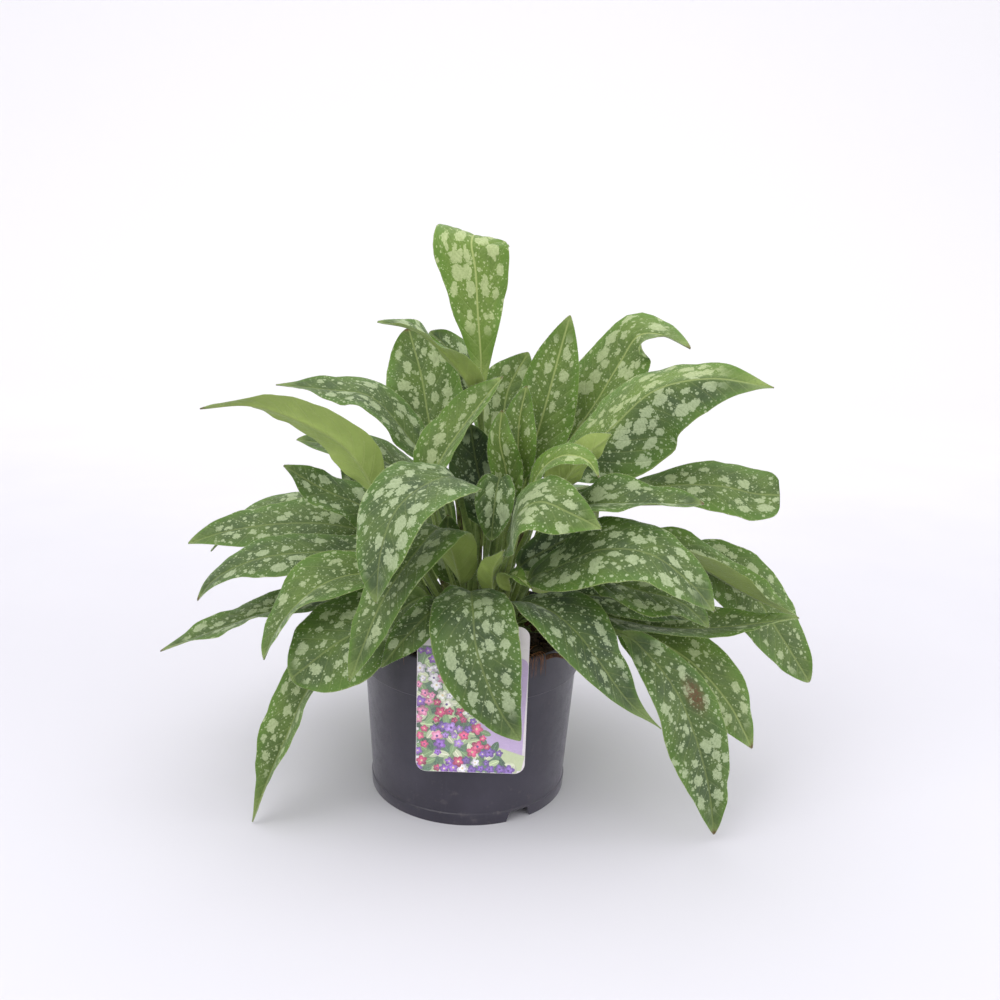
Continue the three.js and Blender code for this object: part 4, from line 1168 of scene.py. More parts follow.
    def spotted(self, add: Add, place: NodeSocket, column: NodeSocket, silver: NodeSocket) -> NodeSocket:
        """Pale blotches in a band between midrib and margin, with middling and tiny spots around them.

        Args:
            add: adds a node to the material.
            place: the shifted place on the leaf, in millimetres.
            column: 0 at the midrib to 1 at the margin.
            silver: how much of the blade the blotches take.

        Returns:
            A value of 0 on green and 1 on a spot.
        """
        inner = add(Node.STEP, column, 0.05, 0.22, 0, 1)
        band = add(Node.PRODUCT, inner, add(Node.STEP, column, 0.6, 0.95, 1, 0))
        ragged = add(Node.DIFFERENCE, add(Node.NOISE, place, 0.8, 3, self.fineness), 0.5)
        big = add(Node.PRODUCT_SUM, ragged, 0.3, self.blotches.depth(add, place))
        big = add(Node.SUM, add(Node.STEP, silver, 0, 1, -0.08, 0.22), big)
        big = add(Node.PRODUCT_SUM, add(Node.DIFFERENCE, 1, band), -0.3, big)
        both = add(Node.LARGER, add(Node.STEP, big, 0, 0.08, 0, 1),
                   add(Node.STEP, self.spots.depth(add, place), 0, 0.09, 0, 1))
        return add(Node.LARGER, both, add(Node.STEP, self.dots.depth(add, place), 0, 0.09, 0, 0.95))

    def veins(self, add: Add, place: NodeSocket) -> tuple[NodeSocket, NodeSocket]:
        """The midrib's line and the side veins' lines, where the skin is grooved.

        Args:
            add: adds a node to the material.
            place: the place on the leaf, in millimetres.

        Returns:
            Two values from 0 beside the line to 1 on it.
        """
        along, across, _ = add(Node.PARTS, place).node.outputs
        half_spacing = LeafForm.vein_spacing / 2
        away = add(Node.AMOUNT, across)
        phase = add(Node.PRODUCT_SUM, away, -LeafForm.vein_slant, along)
        phase = add(Node.PRODUCT_SUM, add(Node.ABOVE, across, 0), half_spacing, phase)
        off = add(Node.ZIGZAG, phase, half_spacing)
        return add(Node.STEP, away, 0.45, 1.15, 1, 0), add(Node.STEP, off, 0.2, 1.2, 1, 0)


# Pot


@dataclass
class Pot:
    """The round nursery pot: a tapered wall with a proud collar, a foot skirt with notches, drain holes."""

    height: float = 150.0
    collar_radius: float = 95.0
    collar_height: float = 36.0
    collar_proud: float = 2.4
    base_radius: float = 84.6
    wall: float = 1.5
    skirt_height: float = 10.0
    skirt_proud: float = 1.0
    floor_low: float = 8.5
    pad_radius: float = 14.0
    segments: int = 192
    sharp_degrees: float = 32.0
    notch_count: int = 3
    first_notch: float = -58.0
    notch_widths: tuple[float, float] = (24.0, 18.0)
    notch_top: float = 9.5
    drain_count: int = 6
    drain_radius: float = 5.0
    drain_pitch: float = 68.0

    @property
    def wall_top(self) -> float:
        """The wall's outer radius under the collar."""
        return self.collar_radius - self.collar_proud - 0.6

    @property
    def collar_base(self) -> float:
        """Where the collar starts."""
        return self.height - self.collar_height

    def inner_radius(self, height: float) -> float:
        """The wall's inner side, straight from the floor's top to the collar's base.

        Args:
            height: the height above the ground.

        Returns:
            The inner radius there.
        """
        low, high = self.base_radius - self.wall, self.wall_top - self.wall
        floor = self.floor_low + self.wall
        return low + (high - low) * (height - floor) / (self.collar_base - floor)

    def profile(self) -> Array:
        """The pot's section from the middle of its underside, round the wall, to the middle of its floor.

        Returns:
            Rows of radius and height.
        """
        floor, base = self.floor_low + self.wall, self.collar_base
        foot, skirt = self.base_radius - self.wall, self.base_radius + self.skirt_proud
        collar, lip = self.wall_top + self.collar_proud, self.collar_radius - 0.1
        corners = [
            (0, 0.4, 0), (self.pad_radius - 0.4, 0.4, 0.8), (self.pad_radius + 1, self.floor_low, 1.2),
            (foot - 0.8, self.floor_low, 1.0), (foot, 0, 0.5), (skirt, 0, 0.5),
            (skirt + 0.6, self.skirt_height, 0.5), (self.base_radius + 0.6, self.skirt_height + 0.8, 0.5),
            (self.wall_top, base, 0.7), (collar, base + 1, 0.6), (lip, self.height - 6.2, 0.3),
            (lip, self.height - 1, 0.8), (self.collar_radius - 1.5, self.height, 0.5),
            (collar - self.wall - 0.6, base + 3.6, 1.4), (self.inner_radius(base), base, 0.8),
            (self.inner_radius(floor), floor, 1.2), (0, floor, 0),
        ]
        return resampled(softened(corners), 14.0)

    def directions(self, count: int) -> list[tuple[Array, Array]]:
        """Equal places around the foot, the first of them at the first notch.

        Args:
            count: how many places.

        Returns:
            The directions outwards and sideways at each place.
        """
        turns = math.radians(self.first_notch) + 2 * np.pi / count * np.arange(count)
        cosine, sine = np.cos(turns), np.sin(turns)
        return [(np.array([c, s, 0]), np.array([-s, c, 0])) for c, s in zip(cosine, sine)]

    def cutters(self) -> Object:
        """Upright prisms for the notches through the foot skirt and the drain holes through the floor.

        Returns:
            The prisms as one object.
        """
        low, high = (width / 2 for width in self.notch_widths)
        top, upright = self.notch_top, np.array([0, 0, 1.0])
        notch = softened([(-low, -1, 0), (low, -1, 0), (high, top, 1.2), (-high, top, 1.2), (-low, -1, 0)])
        notch = notch[:-1]
        drain = self.drain_radius * np.stack(circle(32), -1)
        rings = []
        for out, side in self.directions(self.notch_count):
            near = out * (self.base_radius - 8) + notch[:, :1] * side + notch[:, 1:] * upright
            rings.append((near, 12 * out))
        for out, side in self.directions(self.drain_count):
            base = out * self.drain_pitch + drain[:, :1] * out + drain[:, 1:] * side
            rings.append((base + (self.floor_low - 2) * upright, 6 * upright))
        points: list[Array] = []
        faces: list[list[int]] = []
        for ring, shift in rings:
            start, count = sum(map(len, points)), len(ring)
            points += [ring, ring + shift]
            near = list(range(start, start + count))
            far = [corner + count for corner in near]
            faces += [near[::-1], far]
            faces += (sheet_faces(2, count) + start).tolist()
        return weld(make_facets("cutters", points, faces))

    def build(self, material: Material) -> Object:
        """Makes the pot and hands it over to the frame.

        Args:
            material: the pot's plastic.

        Returns:
            The finished pot.
        """
        made = weld(make_object("nursery_pot", revolve(self.profile(), self.segments)))
        cutter = self.cutters()
        cut = made.modifiers.new("notches", "BOOLEAN")
        cut.operation = "DIFFERENCE"
        cut.solver = "EXACT"
        cut.object = cutter
        graph = bpy.context.evaluated_depsgraph_get()
        mesh = bpy.data.meshes.new_from_object(made.evaluated_get(graph))
        made.modifiers.clear()
        mesh.materials.clear()
        made.data = mesh
        bpy.data.objects.remove(cutter)
        smooth(mesh, self.sharp_degrees)
        return dress(made, material, Slot.POT, "pot")


@dataclass(frozen=True)
class PotFinish(Finish):
    """Injection-moulded recycled polypropylene, satin, with dust in its lower part and light scuffs."""

    name: str = "satin_polypropylene"
    roughness: float = 0.4
    refraction: float = 1.49
    bump: tuple[float, float] = (0.12, 0.2)
    sheen: tuple[float, float, str] = (0.3, 0.5, "e9e6f2")
    base: str = "2a2733"
    light: str = "3b3844"
    dust: str = "77706c"
    flecks: SpotLayer = SpotLayer(9, 9, 1.5, 0.5, -0.4, 0.09)

    def pattern(self, add: Add) -> Look:
        """Cloudy grey with upright streaks, dust towards the foot, pale specks and fine scratches.

        Args:
            add: adds a node to the material.

        Returns:
            Colour, roughness and height.
        """
        place = object_place(add)
        cloud = add(Node.NOISE, place, 0.018, 4, self.fineness)
        colour = add(Node.MIX, add(Node.STEP, cloud, 0.35, 0.7, 0, 0.8), self.base, self.light)
        streak = add(Node.NOISE, object_place(add, (1, 1, 0.06)), 0.35, 4, self.fineness)
        colour = add(Node.MIX, add(Node.STEP, streak, 0.52, 0.75, 0, 0.25), colour, self.light)
        grime = add(Node.NOISE, place, 0.12, 6, self.fineness)
        height = add(Node.PARTS, place).node.outputs[2]
        dusty = add(Node.SUM, grime, add(Node.STEP, height, 4, 46, 0.07, 0))
        colour = add(Node.MIX, add(Node.STEP, dusty, 0.6, 0.85, 0, 0.3), colour, self.dust)
        fleck = add(Node.STEP, self.flecks.depth(add, place), 0, 0.06, 0, 0.45)
        colour = add(Node.MIX, fleck, colour, self.dust)
        scratch = add(Node.NOISE, object_place(add, (0.3, 0.3, 3.5)), 1.1, 2, self.fineness)
        worn = add(Node.PRODUCT, scratch, grime)
        gloss = add(Node.STEP, worn, 0.15, 0.45, self.roughness - 0.08, self.roughness + 0.16)
        fine = add(Node.NOISE, place, 2.2, 3, self.fineness)
        return colour, gloss, add(Node.PRODUCT_SUM, scratch, 0.5, fine)


# Soil


@dataclass
class Soil:
    """Peat compost: an uneven surface with crumbs, and roots that show at the rim."""

    pot: Pot
    top: float = 140.0
    roughness: float = 2.2
    play: float = 0.6
    flat_radius: float = 48.0
    segments: int = 220
    rings: int = 70
    crumb_count: int = 620
    crumb_reach: float = 88.0
    crumb_sides: int = 8
    crumb_rings: int = 6
    root_count: int = 34
    rim_root_count: int = 46

    def lift(self, x: Array, y: Array) -> Array:
        """The soil's surface: broad waves under two coats of noise.

        Args:
            x: first coordinates.
            y: second coordinates.

        Returns:
            The height at each place.
        """
        radius = np.hypot(x, y)
        broad = np.sin(0.21 * x + 1) * np.cos(0.17 * y) * np.clip((radius - self.flat_radius) / 6, 0, 1)
        fine = 0.8 * rough(x, y, 9, 3) + 0.4 * rough(x, y, 2.4, 17)
        return self.top + self.roughness * broad + fine

    def body(self) -> Object:
        """The soil's closed body, a little clear of the pot's wall and sunk towards it.

        Returns:
            The body.
        """
        floor = self.pot.floor_low + self.pot.wall + 0.3
        rim = self.pot.inner_radius(self.pot.collar_base) - self.play
        base = self.pot.inner_radius(floor) - self.play
        side = np.array([(0, floor), (base, floor), (rim, self.pot.collar_base), (rim, self.top - 3)])
        radii = np.linspace(rim - 1.5, 0, self.rings)
        profile = np.concatenate([side, np.column_stack([radii, np.full(self.rings, self.top)])])
        shape = revolve(profile, self.segments)
        x, y, z = shape.points.T
        edge = np.clip((rim - np.hypot(x, y)) / 9, 0, 1)
        raised = self.lift(x, y) - 2.2 * (1 - edge) ** 2
        shape.points[:, 2] = np.where(z > self.top - 0.5, raised, z)
        return weld(make_object("potting_soil", shape, 60))

    def crumbs(self) -> Object:
        """Crumbs and bark chips on the surface: small faceted lumps, each a dented ball.

        A lump's radius is 1 + 0.3 noise, and its three axes are scaled at random.

        Returns:
            All crumbs as one object.
        """
        random = np.random.default_rng(SEED)
        count, sides = self.crumb_count, self.crumb_sides
        corners = self.crumb_rings * sides
        radius = self.crumb_reach * np.sqrt(random.uniform(0.06, 1, count))
        angle = random.uniform(0, 2 * np.pi, count)
        x, y = radius * np.cos(angle), radius * np.sin(angle)
        size = random.gamma(2.2, 0.55, (count, 1)) + 0.5
        stretch = random.uniform(0.5, 1.25, (count, 3)) * size * np.array([1, 1, 0.7])
        latitude = np.linspace(0, np.pi, self.crumb_rings)
        ball = revolve(np.column_stack([np.sin(latitude), np.cos(latitude)]), sides)
        dent = 1 + random.uniform(-0.3, 0.3, (count, corners, 1))
        dent[:, :sides] = dent[:, :1]
        dent[:, -sides:] = dent[:, -1:]
        lumps = ball.points * dent * stretch[:, None]
        turn = random.uniform(0, 2 * np.pi, count)
        sunk = self.lift(x, y) + 0.25 * size[:, 0] - 0.5 * (radius > 82)
        flat = turned(lumps[..., 0], lumps[..., 1], turn[:, None], x[:, None], y[:, None])
        points = np.concatenate([flat, lumps[..., 2:] + sunk[:, None, None]], -1)
        faces = np.arange(count)[:, None, None] * corners + ball.faces
        return weld(make_object("soil_crumbs", Shape(points.reshape(-1, 3), faces.reshape(-1, 4)), 35))

    def roots(self) -> Object:
        """Ginger roots on the surface and over the rim, with fine root hairs at the left.

        Returns:
            All roots as one object.
        """
        random = np.random.default_rng(SEED + 1)
        threads = []
        for _ in range(self.root_count):
            turn = random.uniform(0, 2 * np.pi)
            radius = random.uniform(50, 84)
            nodes = []
            for _ in range(4):
                x, y = radius * math.cos(turn), radius * math.sin(turn)
                nodes.append((x, y, float(self.lift(np.array(x), np.array(y))) + random.uniform(-0.6, 1.4)))
                turn += random.uniform(0.05, 0.2)
                radius = min(radius + random.uniform(-6, 7), self.crumb_reach - 1)
            threads.append(thread(nodes, random.uniform(0.25, 0.6)))
        for _ in range(self.rim_root_count):
            sides = [random.uniform(-72, -50), random.uniform(-126, -114)]
            turn = math.radians(random.choice(sides, p=[0.8, 0.2]))
            along = np.array([math.cos(turn), math.sin(turn)])
            aside = np.array([-along[1], along[0]]) * random.uniform(-4, 4)
            places = [(84, 141.5, 0), (90.5, 150.6, 0.3), (95.8, 149.6, 0.6),
                      (96.3, 146 - random.uniform(0, 5), 1), (96.4, 142 - random.uniform(0, 12), 1.3)]
            nodes = [(*(along * radius + aside * drift), height + random.uniform(0, 0.5))
                     for radius, height, drift in places]
            threads.append(thread(nodes, random.uniform(0.12, 0.3)))
        return weld(make_object("roots", joined(threads)))

    def build(self, soil: Material, root: Material) -> None:
        """Makes the soil with what lies on it.

        Args:
            soil: the compost.
            root: the roots' tissue.
        """
        dress(self.body(), soil, Slot.SOIL, "soil")
        dress(self.crumbs(), soil, Slot.SOIL)
        dress(self.roots(), root, Slot.SOIL)


@dataclass(frozen=True)
class SoilFinish(Finish):
    """Moist peat compost with bark fines: dark, rough, with lighter fibres."""

    name: str = "peat_compost"
    roughness: float = 0.95
    refraction: float = 1.4
    bump: tuple[float, float] = (0.8, 0.5)
    dark: str = "1f1712"
    light: str = "4d3a2a"
    chip: str = "7a5a3c"

    def pattern(self, add: Add) -> Look:
        """Dark and light crumbs of a few millimetres, with stretched fibres of bark.

        Args:
            add: adds a node to the material.

        Returns:
            Colour, roughness and height.
        """
        place = object_place(add)
        cloud = add(Node.STEP, add(Node.NOISE, place, 0.35, 6, self.fineness), 0.35, 0.7, 0, 1)
        colour = add(Node.MIX, cloud, self.dark, self.light)
        fibre = add(Node.NOISE, object_place(add, (1, 0.2, 1)), 1.3, 3, self.fineness)
        colour = add(Node.MIX, add(Node.STEP, fibre, 0.62, 0.72, 0, 0.7), colour, self.chip)
        return colour, self.roughness, add(Node.NOISE, place, 1.4, 5, self.fineness)


@dataclass(frozen=True, kw_only=True)
class FibreFinish(Finish):
    """Dry root and dead leaf tissue: matt, streaked along its fibres."""

    roughness: float = 0.8
    refraction: float = 1.45
    bump: tuple[float, float] = (0.5, 0.3)
    light: str
    dark: str

    def pattern(self, add: Add) -> Look:
        """Light and dark streaks, three times as tall as they are wide.

        Args:
            add: adds a node to the material.

        Returns:
            Colour, roughness and height.
        """
        place = object_place(add, (1, 1, 0.3))
        cloud = add(Node.STEP, add(Node.NOISE, place, 0.5, 5, self.fineness), 0.35, 0.68, 0, 1)
        colour = add(Node.MIX, cloud, self.light, self.dark)
        return colour, self.roughness, add(Node.NOISE, place, 1.8, 4, self.fineness)


# Crown


@dataclass
class Crown:
    """The rootstock's low mound with the sheaths of old leaves, a few of them dead and brown."""

    radius: float = 40.0
    height: float = 21.0
    base: float = 140.3
    segments: int = 96
    sheath_count: int = 46
    shoots: tuple[tuple[float, list[Point]], ...] = (
        (4.2, [(-4, 8, 150), (-9, 12, 200), (-14, 14, 240), (-18, 15, 274)]),
        (3.0, [(4, 6, 150), (5, 9, 200), (7, 12, 244)]),
        (4.4, [(-14, 8, 150), (-26, 12, 179), (-40, 14, 203)]),
        (4.6, [(20, 6, 150), (35, 10, 205), (46, 14, 235), (55, 16, 258)]),
    )
    dead_ends: tuple[tuple[float, list[Point]], ...] = (
        (2.6, [(52, -34, 156), (66, -48, 176), (84, -62, 180), (98, -70, 172)]),
        (1.8, [(46, -30, 158), (60, -40, 172), (72, -52, 168)]),
        (2.4, [(58, -66, 142), (70, -74, 150), (80, -80, 149), (86, -84, 143)]),
        (1.4, [(-52, -34, 150), (-66, -44, 160), (-78, -54, 154)]),
    )

    def lift(self, x: Array, y: Array) -> Array:
        """The mound's surface: a quarter ellipse, ridged by noise.

        Args:
            x: first coordinates.
            y: second coordinates.

        Returns:
            The height at each place.
        """
        out = np.hypot(x - CROWN_CENTRE[0], y - CROWN_CENTRE[1]) / self.radius
        dome = np.sqrt(np.clip(1 - out**2, 0, 1))
        return self.base + 1 + self.height * dome + 0.9 * rough(x, y, 5, 61) * np.clip(1 - out, 0, 0.3) / 0.3

    def mound(self) -> Object:
        """The mound of rootstock.

        Returns:
            The closed mound.
        """
        angle = np.linspace(0, np.pi / 2, 26)
        rim = np.column_stack([self.radius * np.cos(angle), self.base + 1 + self.height * np.sin(angle)])
        rim[-1, 0] = 0
        shape = revolve(np.concatenate([[(0, self.base), (self.radius, self.base)], rim]), self.segments)
        shape.points[:, :2] += CROWN_CENTRE
        x, y, z = shape.points.T
        shape.points[:, 2] = np.where(z > self.base + 0.5, np.minimum(self.lift(x, y), z + 0.6), z)
        return weld(make_object("crown_mound", shape, 70))

    def sheaths(self) -> Object:
        """Short pointed leaf bases that stand among the petioles, and four taller rolled shoots.

        Returns:
            Bases and shoots as one object.
        """
        random = np.random.default_rng(SEED + 2)
        made = []
        for _ in range(self.sheath_count):
            turn = random.uniform(0, 2 * np.pi)
            radius = self.radius * random.uniform(0.25, 0.95)
            x = CROWN_CENTRE[0] + radius * math.cos(turn)
            y = CROWN_CENTRE[1] + radius * math.sin(turn)
            z = float(self.lift(np.array(x), np.array(y)))
            lean = 0.6 * radius / self.radius
            rise = random.uniform(9, 24)
            along, aside = math.cos(turn) * lean * rise, math.sin(turn) * lean * rise
            nodes = [(x, y, z - 3), (x + along * 0.4, y + aside * 0.4, z + rise * 0.5),
                     (x + along, y + aside, z + rise)]
            made.append(thread(nodes, random.uniform(1.2, 2.6), around=10))
        made += [thread(nodes, radius, around=12) for radius, nodes in self.shoots]
        return weld(make_object("leaf_sheaths", joined(made)))

    def litter(self) -> Object:
        """Dead brown leaf ends beside the crown."""
        strips = [thread(nodes, radius, around=8) for radius, nodes in self.dead_ends]
        return weld(make_object("dead_leaf_ends", joined(strips)))

    def build(self, sheath: Material, dead: Material) -> None:
        """Makes the crown and hands it over to the frame.

        Args:
            sheath: the living tissue.
            dead: the dead tissue.
        """
        dress(self.mound(), sheath, Slot.CROWN, "crown")
        dress(self.sheaths(), sheath, Slot.CROWN)
        dress(self.litter(), dead, Slot.CROWN)


# Label


@dataclass
class Label:
    """A rounded picture card before the pot, on a tail that goes over the rim into the soil."""

    width: float = 88.0
    low: float = 55.0
    high: float = 182.0
    middle: float = 4.0
    depth: float = 0.8
    corner: float = 9.0
    front: float = -96.4
    tail_width: float = 12.0
    tail_x: float = 8.0
    tail_low: float = 96.0
    arch: float = 5.2
    edge: str = "e6dfe2"

    @property
    def left(self) -> float:
        """The card's left edge."""
        return self.middle - self.width / 2

    @property
    def right(self) -> float:
        """The card's right edge."""
        return self.middle + self.width / 2

    def rounded(self, inset: float) -> Array:
        """The card's outline with its round corners.

        Args:
            inset: how far the outline is moved inwards.

        Returns:
            Rows of x and z, anticlockwise from the front.
        """
        half, radius = self.width / 2 - inset, self.corner - inset
        low, high = self.low + inset, self.high - inset
        angle = np.linspace(0, np.pi / 2, 12)
        parts = []
        for quarter, x, z in ((-1, half - radius, low + radius), (0, half - radius, high - radius),
                              (1, radius - half, high - radius), (2, radius - half, low + radius)):
            turn = angle + quarter * np.pi / 2
            parts.append(np.stack([self.middle + x + radius * np.cos(turn), z + radius * np.sin(turn)], -1))
        return np.concatenate(parts)

    def card(self) -> Object:
        """The card with finely rounded edges, and its tail.

        Returns:
            Both as one object.
        """
        steps = ((0.25, 0), (0.06, 0.06), (0, 0.25), (0, 0.55), (0.06, 0.74), (0.25, 0.8))
        rings = [np.insert(self.rounded(inset), 1, self.front + place, axis=1) for inset, place in steps]
        count, last = len(rings[0]), len(rings) - 1
        faces = [list(range(count)), [last * count + i for i in range(count)][::-1]]
        faces += sheet_faces(len(rings), count)[:, ::-1].tolist()
        tail, tail_faces = self.tail()
        faces += (tail_faces + len(rings) * count).tolist()
        made = weld(make_facets("stick_in_label", [*rings, tail], faces, linear(self.edge)))
        smooth(made.data, 40)
        return made

    def tail(self) -> tuple[Array, NDArray[np.int64]]:
        """The tail: up behind the card's top edge, over an arch and down into the soil.

        Returns:
            Its points and its quads.
        """
        turn = np.linspace(np.pi, 0, 24)
        centre = self.front + self.arch
        line = np.concatenate([
            [(centre - self.arch, self.high - 6)],
            np.stack([centre + self.arch * np.cos(turn), self.high + self.arch * np.sin(turn)], -1),
            [(centre + self.arch, self.tail_low + 8), (centre + self.arch, self.tail_low)],
        ])
        normal = np.concatenate([[(-1, 0)], np.stack([np.cos(turn), np.sin(turn)], -1), [(1, 0), (1, 0)]])
        inner = line - self.depth * normal
        half = np.full(len(line), self.tail_width / 2)
        half[-1] = 1.5
        section = np.stack([np.column_stack([self.tail_x + shift * half, side])
                            for shift, side in ((-1, line), (-1, inner), (1, inner), (1, line))], 1)
        last = 4 * (len(line) - 1)
        caps = [[0, 3, 2, 1], [last, last + 1, last + 2, last + 3]]
        return section.reshape(-1, 3), np.concatenate([sheet_faces(len(line), 4), caps])

    def build(self, material: Material) -> None:
        """Makes the card and its printed picture.

        Args:
            material: the glossy card.
        """
        dress(self.card(), material, Slot.LABEL, "label")
        dress(Picture(self).build(), material, Slot.LABEL)


@dataclass
class Picture:
    """The card's printed picture: seeded rows of five-petalled flowers beside a plain lilac field.

    Every motif is a flat many-sided shape with its own colour. Motifs that could overlap lie in
    different layers, each 0.004 mm before the last.
    """

    label: Label
    petal_colours: tuple[str, ...] = (
        "d8507f", "7752a8", "efe9f2", "e58db0", "8a55b4", "b93a68", "e6ead2", "a882cc",
    )
    leaf_colours: tuple[str, ...] = ("7f9f6c", "3d5f46", "b7cb9a", "d3dcb8", "54785a")
    eye_colours: tuple[str, str] = ("e9d9a8", "5b3a86")
    field_colours: tuple[str, str, str] = ("c4add6", "c6d3a4", "5d7b5c")
    margin: float = 0.35
    first_gap: float = 0.02
    layer_gap: float = 0.004
    leaf_pitch: float = 6.4
    leaf_sizes: tuple[float, float] = (4.2, 6.4)
    flower_pitch: float = 7.2
    flower_sizes: tuple[float, float] = (2.6, 5.2)
    flower_gaps: float = 0.28
    cluster_count: int = 14
    stray: float = 1.2

    def __post_init__(self) -> None:
        """Starts with no motifs."""
        self.points: list[Array] = []
        self.faces: list[list[int]] = []
        self.colours: list[Array] = []
        self.random = np.random.default_rng(SEED + 3)

    def add(self, outline: Array, colour: Colour, layer: int) -> None:
        """Adds one flat motif.

        Args:
            outline: its corners as (x, z), anticlockwise from the front.
            colour: its linear colour.
            layer: how many layers it lies before the card.
        """
        start, count = sum(map(len, self.points)), len(outline)
        plane = self.label.front - self.first_gap - self.layer_gap * layer
        self.points.append(np.insert(self.clipped(outline), 1, plane, axis=1))
        self.faces.append(list(range(start, start + count)))
        self.colours.append(np.tile(colour, (count, 1)))

    def clipped(self, outline: Array) -> Array:
        """Draws every corner of an outline back inside the card's rounded edge.

        Args:
            outline: rows of x and z.

        Returns:
            The outline on the card.
        """
        label, corner = self.label, self.label.corner - self.margin
        low = np.array([label.left, label.low]) + self.margin
        high = np.array([label.right, label.high]) - self.margin
        inside = np.clip(outline, low, high)
        centre = np.clip(inside, low + corner, high - corner)
        away = inside - centre
        length = np.linalg.norm(away, axis=1, keepdims=True)
        return centre + away * np.minimum(1, corner / np.maximum(length, 1e-9))

    def tint(self, colour: str, low: float, high: float) -> Colour:
        """A colour made darker or lighter at random.

        Args:
            colour: the sRGB hex colour.
            low: the least factor.
            high: the greatest factor.

        Returns:
            The linear colour.
        """
        shade = self.random.uniform(low, high)
        red, green, blue, _ = linear(colour)
        return min(1.0, red * shade), min(1.0, green * shade), min(1.0, blue * shade), 1.0

    def flower(self, x: float, z: float, size: float, colour: str, layer: int) -> None:
        """Five oval petals round a small eye, each petal of its own shade.

        A petal's outline is its middle at 0.55 of the size plus an ellipse of 0.5 by 0.4 of the size.

        Args:
            x: the flower's middle.
            z: its height.
            size: its radius.
            colour: the petals' sRGB hex colour.
            layer: the layer of its first petal.
        """
        cosine, sine = circle(14)
        turn = self.random.uniform(0, 2 * np.pi)
        middle = np.array([x, z])
        for petal in range(5):
            aim = turn + petal * 2 * np.pi / 5
            outline = turned(size * (0.55 + 0.5 * cosine), size * 0.4 * sine, aim, x, z)
            shade = self.tint(colour, 0.5, 1.1)
            bright = (*(min(1.0, 1.5 * part + 0.03) for part in shade[:3]), 1.0)
            self.add(outline, shade, layer + petal)
            self.add((outline - middle) * 0.62 + middle, bright, layer + 5 + petal)
        eye = self.tint(self.eye_colours[0 if self.random.random() < 0.5 else 1], 0.8, 1.1)
        self.add(turned(0.2 * size * cosine, 0.2 * size * sine, 0, x, z), eye, layer + 10)

    def leaflet(self, x: float, z: float, size: float, colour: str, layer: int) -> None:
        """A pointed leaf with a paler vein, turned at random.

        Args:
            x: the leaf's middle.
            z: its height.
            size: its half length.
            colour: its sRGB hex colour.
            layer: its layer.
        """
        aim = self.random.uniform(0, 2 * np.pi)
        cosine, sine = circle(20)
        for wide, tint, step in ((0.5, (0.75, 1.15), 0), (0.05, (1.5, 1.8), 1)):
            outline = turned(size * cosine, size * wide * sine * np.abs(sine) ** 0.4, aim, x, z)
            self.add(outline, self.tint(colour, *tint), layer + step)

    def reach(self, height: float) -> float:
        """How far right the flowers go at a height above the card's foot, in millimetres from its left."""
        return self.label.width * (0.56 + 0.05 * math.sin(height / 15) + 0.34 * max(0.0, 1 - height / 30))

    def rows(self, pitch: float) -> list[tuple[int, float, float]]:
        """Staggered places for the motifs, each with the number of its group of four.

        Args:
            pitch: the distance between neighbours.

        Returns:
            Group, x and z for each place.
        """
        found = []
        for row in range(math.ceil((self.label.high - self.label.low - 22) / pitch)):
            height = (row + 0.4) * pitch
            for column in range(math.ceil(self.reach(height) / pitch)):
                stray = self.random.uniform(-self.stray, self.stray, 2)
                x = self.label.left + (column + 0.3 + 0.5 * (row % 2)) * pitch + stray[0]
                found.append((2 * (row % 2) + column % 2, x, self.label.low + height + stray[1]))
        return found

    def fields(self) -> list[Array]:
        """The plain fields under the motifs.

        Returns:
            Outlines of the lilac field, the pale ground and the green under the flowers.
        """
        left, right, low, high = self.label.left, self.label.right, self.label.low, self.label.high
        lilac = softened([(left + 46, low, 0), (right, low, 0), (right, high - 26, 9),
                          (left + 46, high - 26, 9), (left + 46, low, 0)], 8)
        share = np.linspace(0, 1, 24)[::-1]
        across = left + 30 + (right - left - 30) * share
        wave = np.stack([across, low + 20 + 5 * np.sin(4 * share)], -1)
        edge = [(left + self.reach(height), low + height) for height in np.linspace(0, high - low - 18, 40)]
        return [lilac[:-1], np.concatenate([[(left + 30, low), (right, low)], wave]),
                np.array([(left, low), *edge, (left, high - 18)])]

    def build(self) -> Object:
        """Makes the picture.

        Returns:
            The flat motifs as one object.
        """
        label, random = self.label, self.random
        for layer, (outline, colour) in enumerate(zip(self.fields(), self.field_colours)):
            self.add(outline, linear(colour), layer)
        for group, x, z in self.rows(self.leaf_pitch):
            colour = str(random.choice(self.leaf_colours))
            self.leaflet(x, z, random.uniform(*self.leaf_sizes), colour, 3 + 2 * group)
        cluster_x = random.uniform(label.left, label.left + 70, self.cluster_count)
        cluster_z = random.uniform(label.low, label.high - 20, self.cluster_count)
        for group, x, z in self.rows(self.flower_pitch):
            if random.random() < self.flower_gaps:
                continue
            nearest = np.argmin(np.hypot(cluster_x - x, cluster_z - z))
            colour = self.petal_colours[int(nearest + random.choice([0, 0, 0, 1])) % len(self.petal_colours)]
            self.flower(x, z, random.uniform(*self.flower_sizes), colour, 11 + 11 * group)
        return make_facets("label_picture", self.points, self.faces, np.concatenate(self.colours))


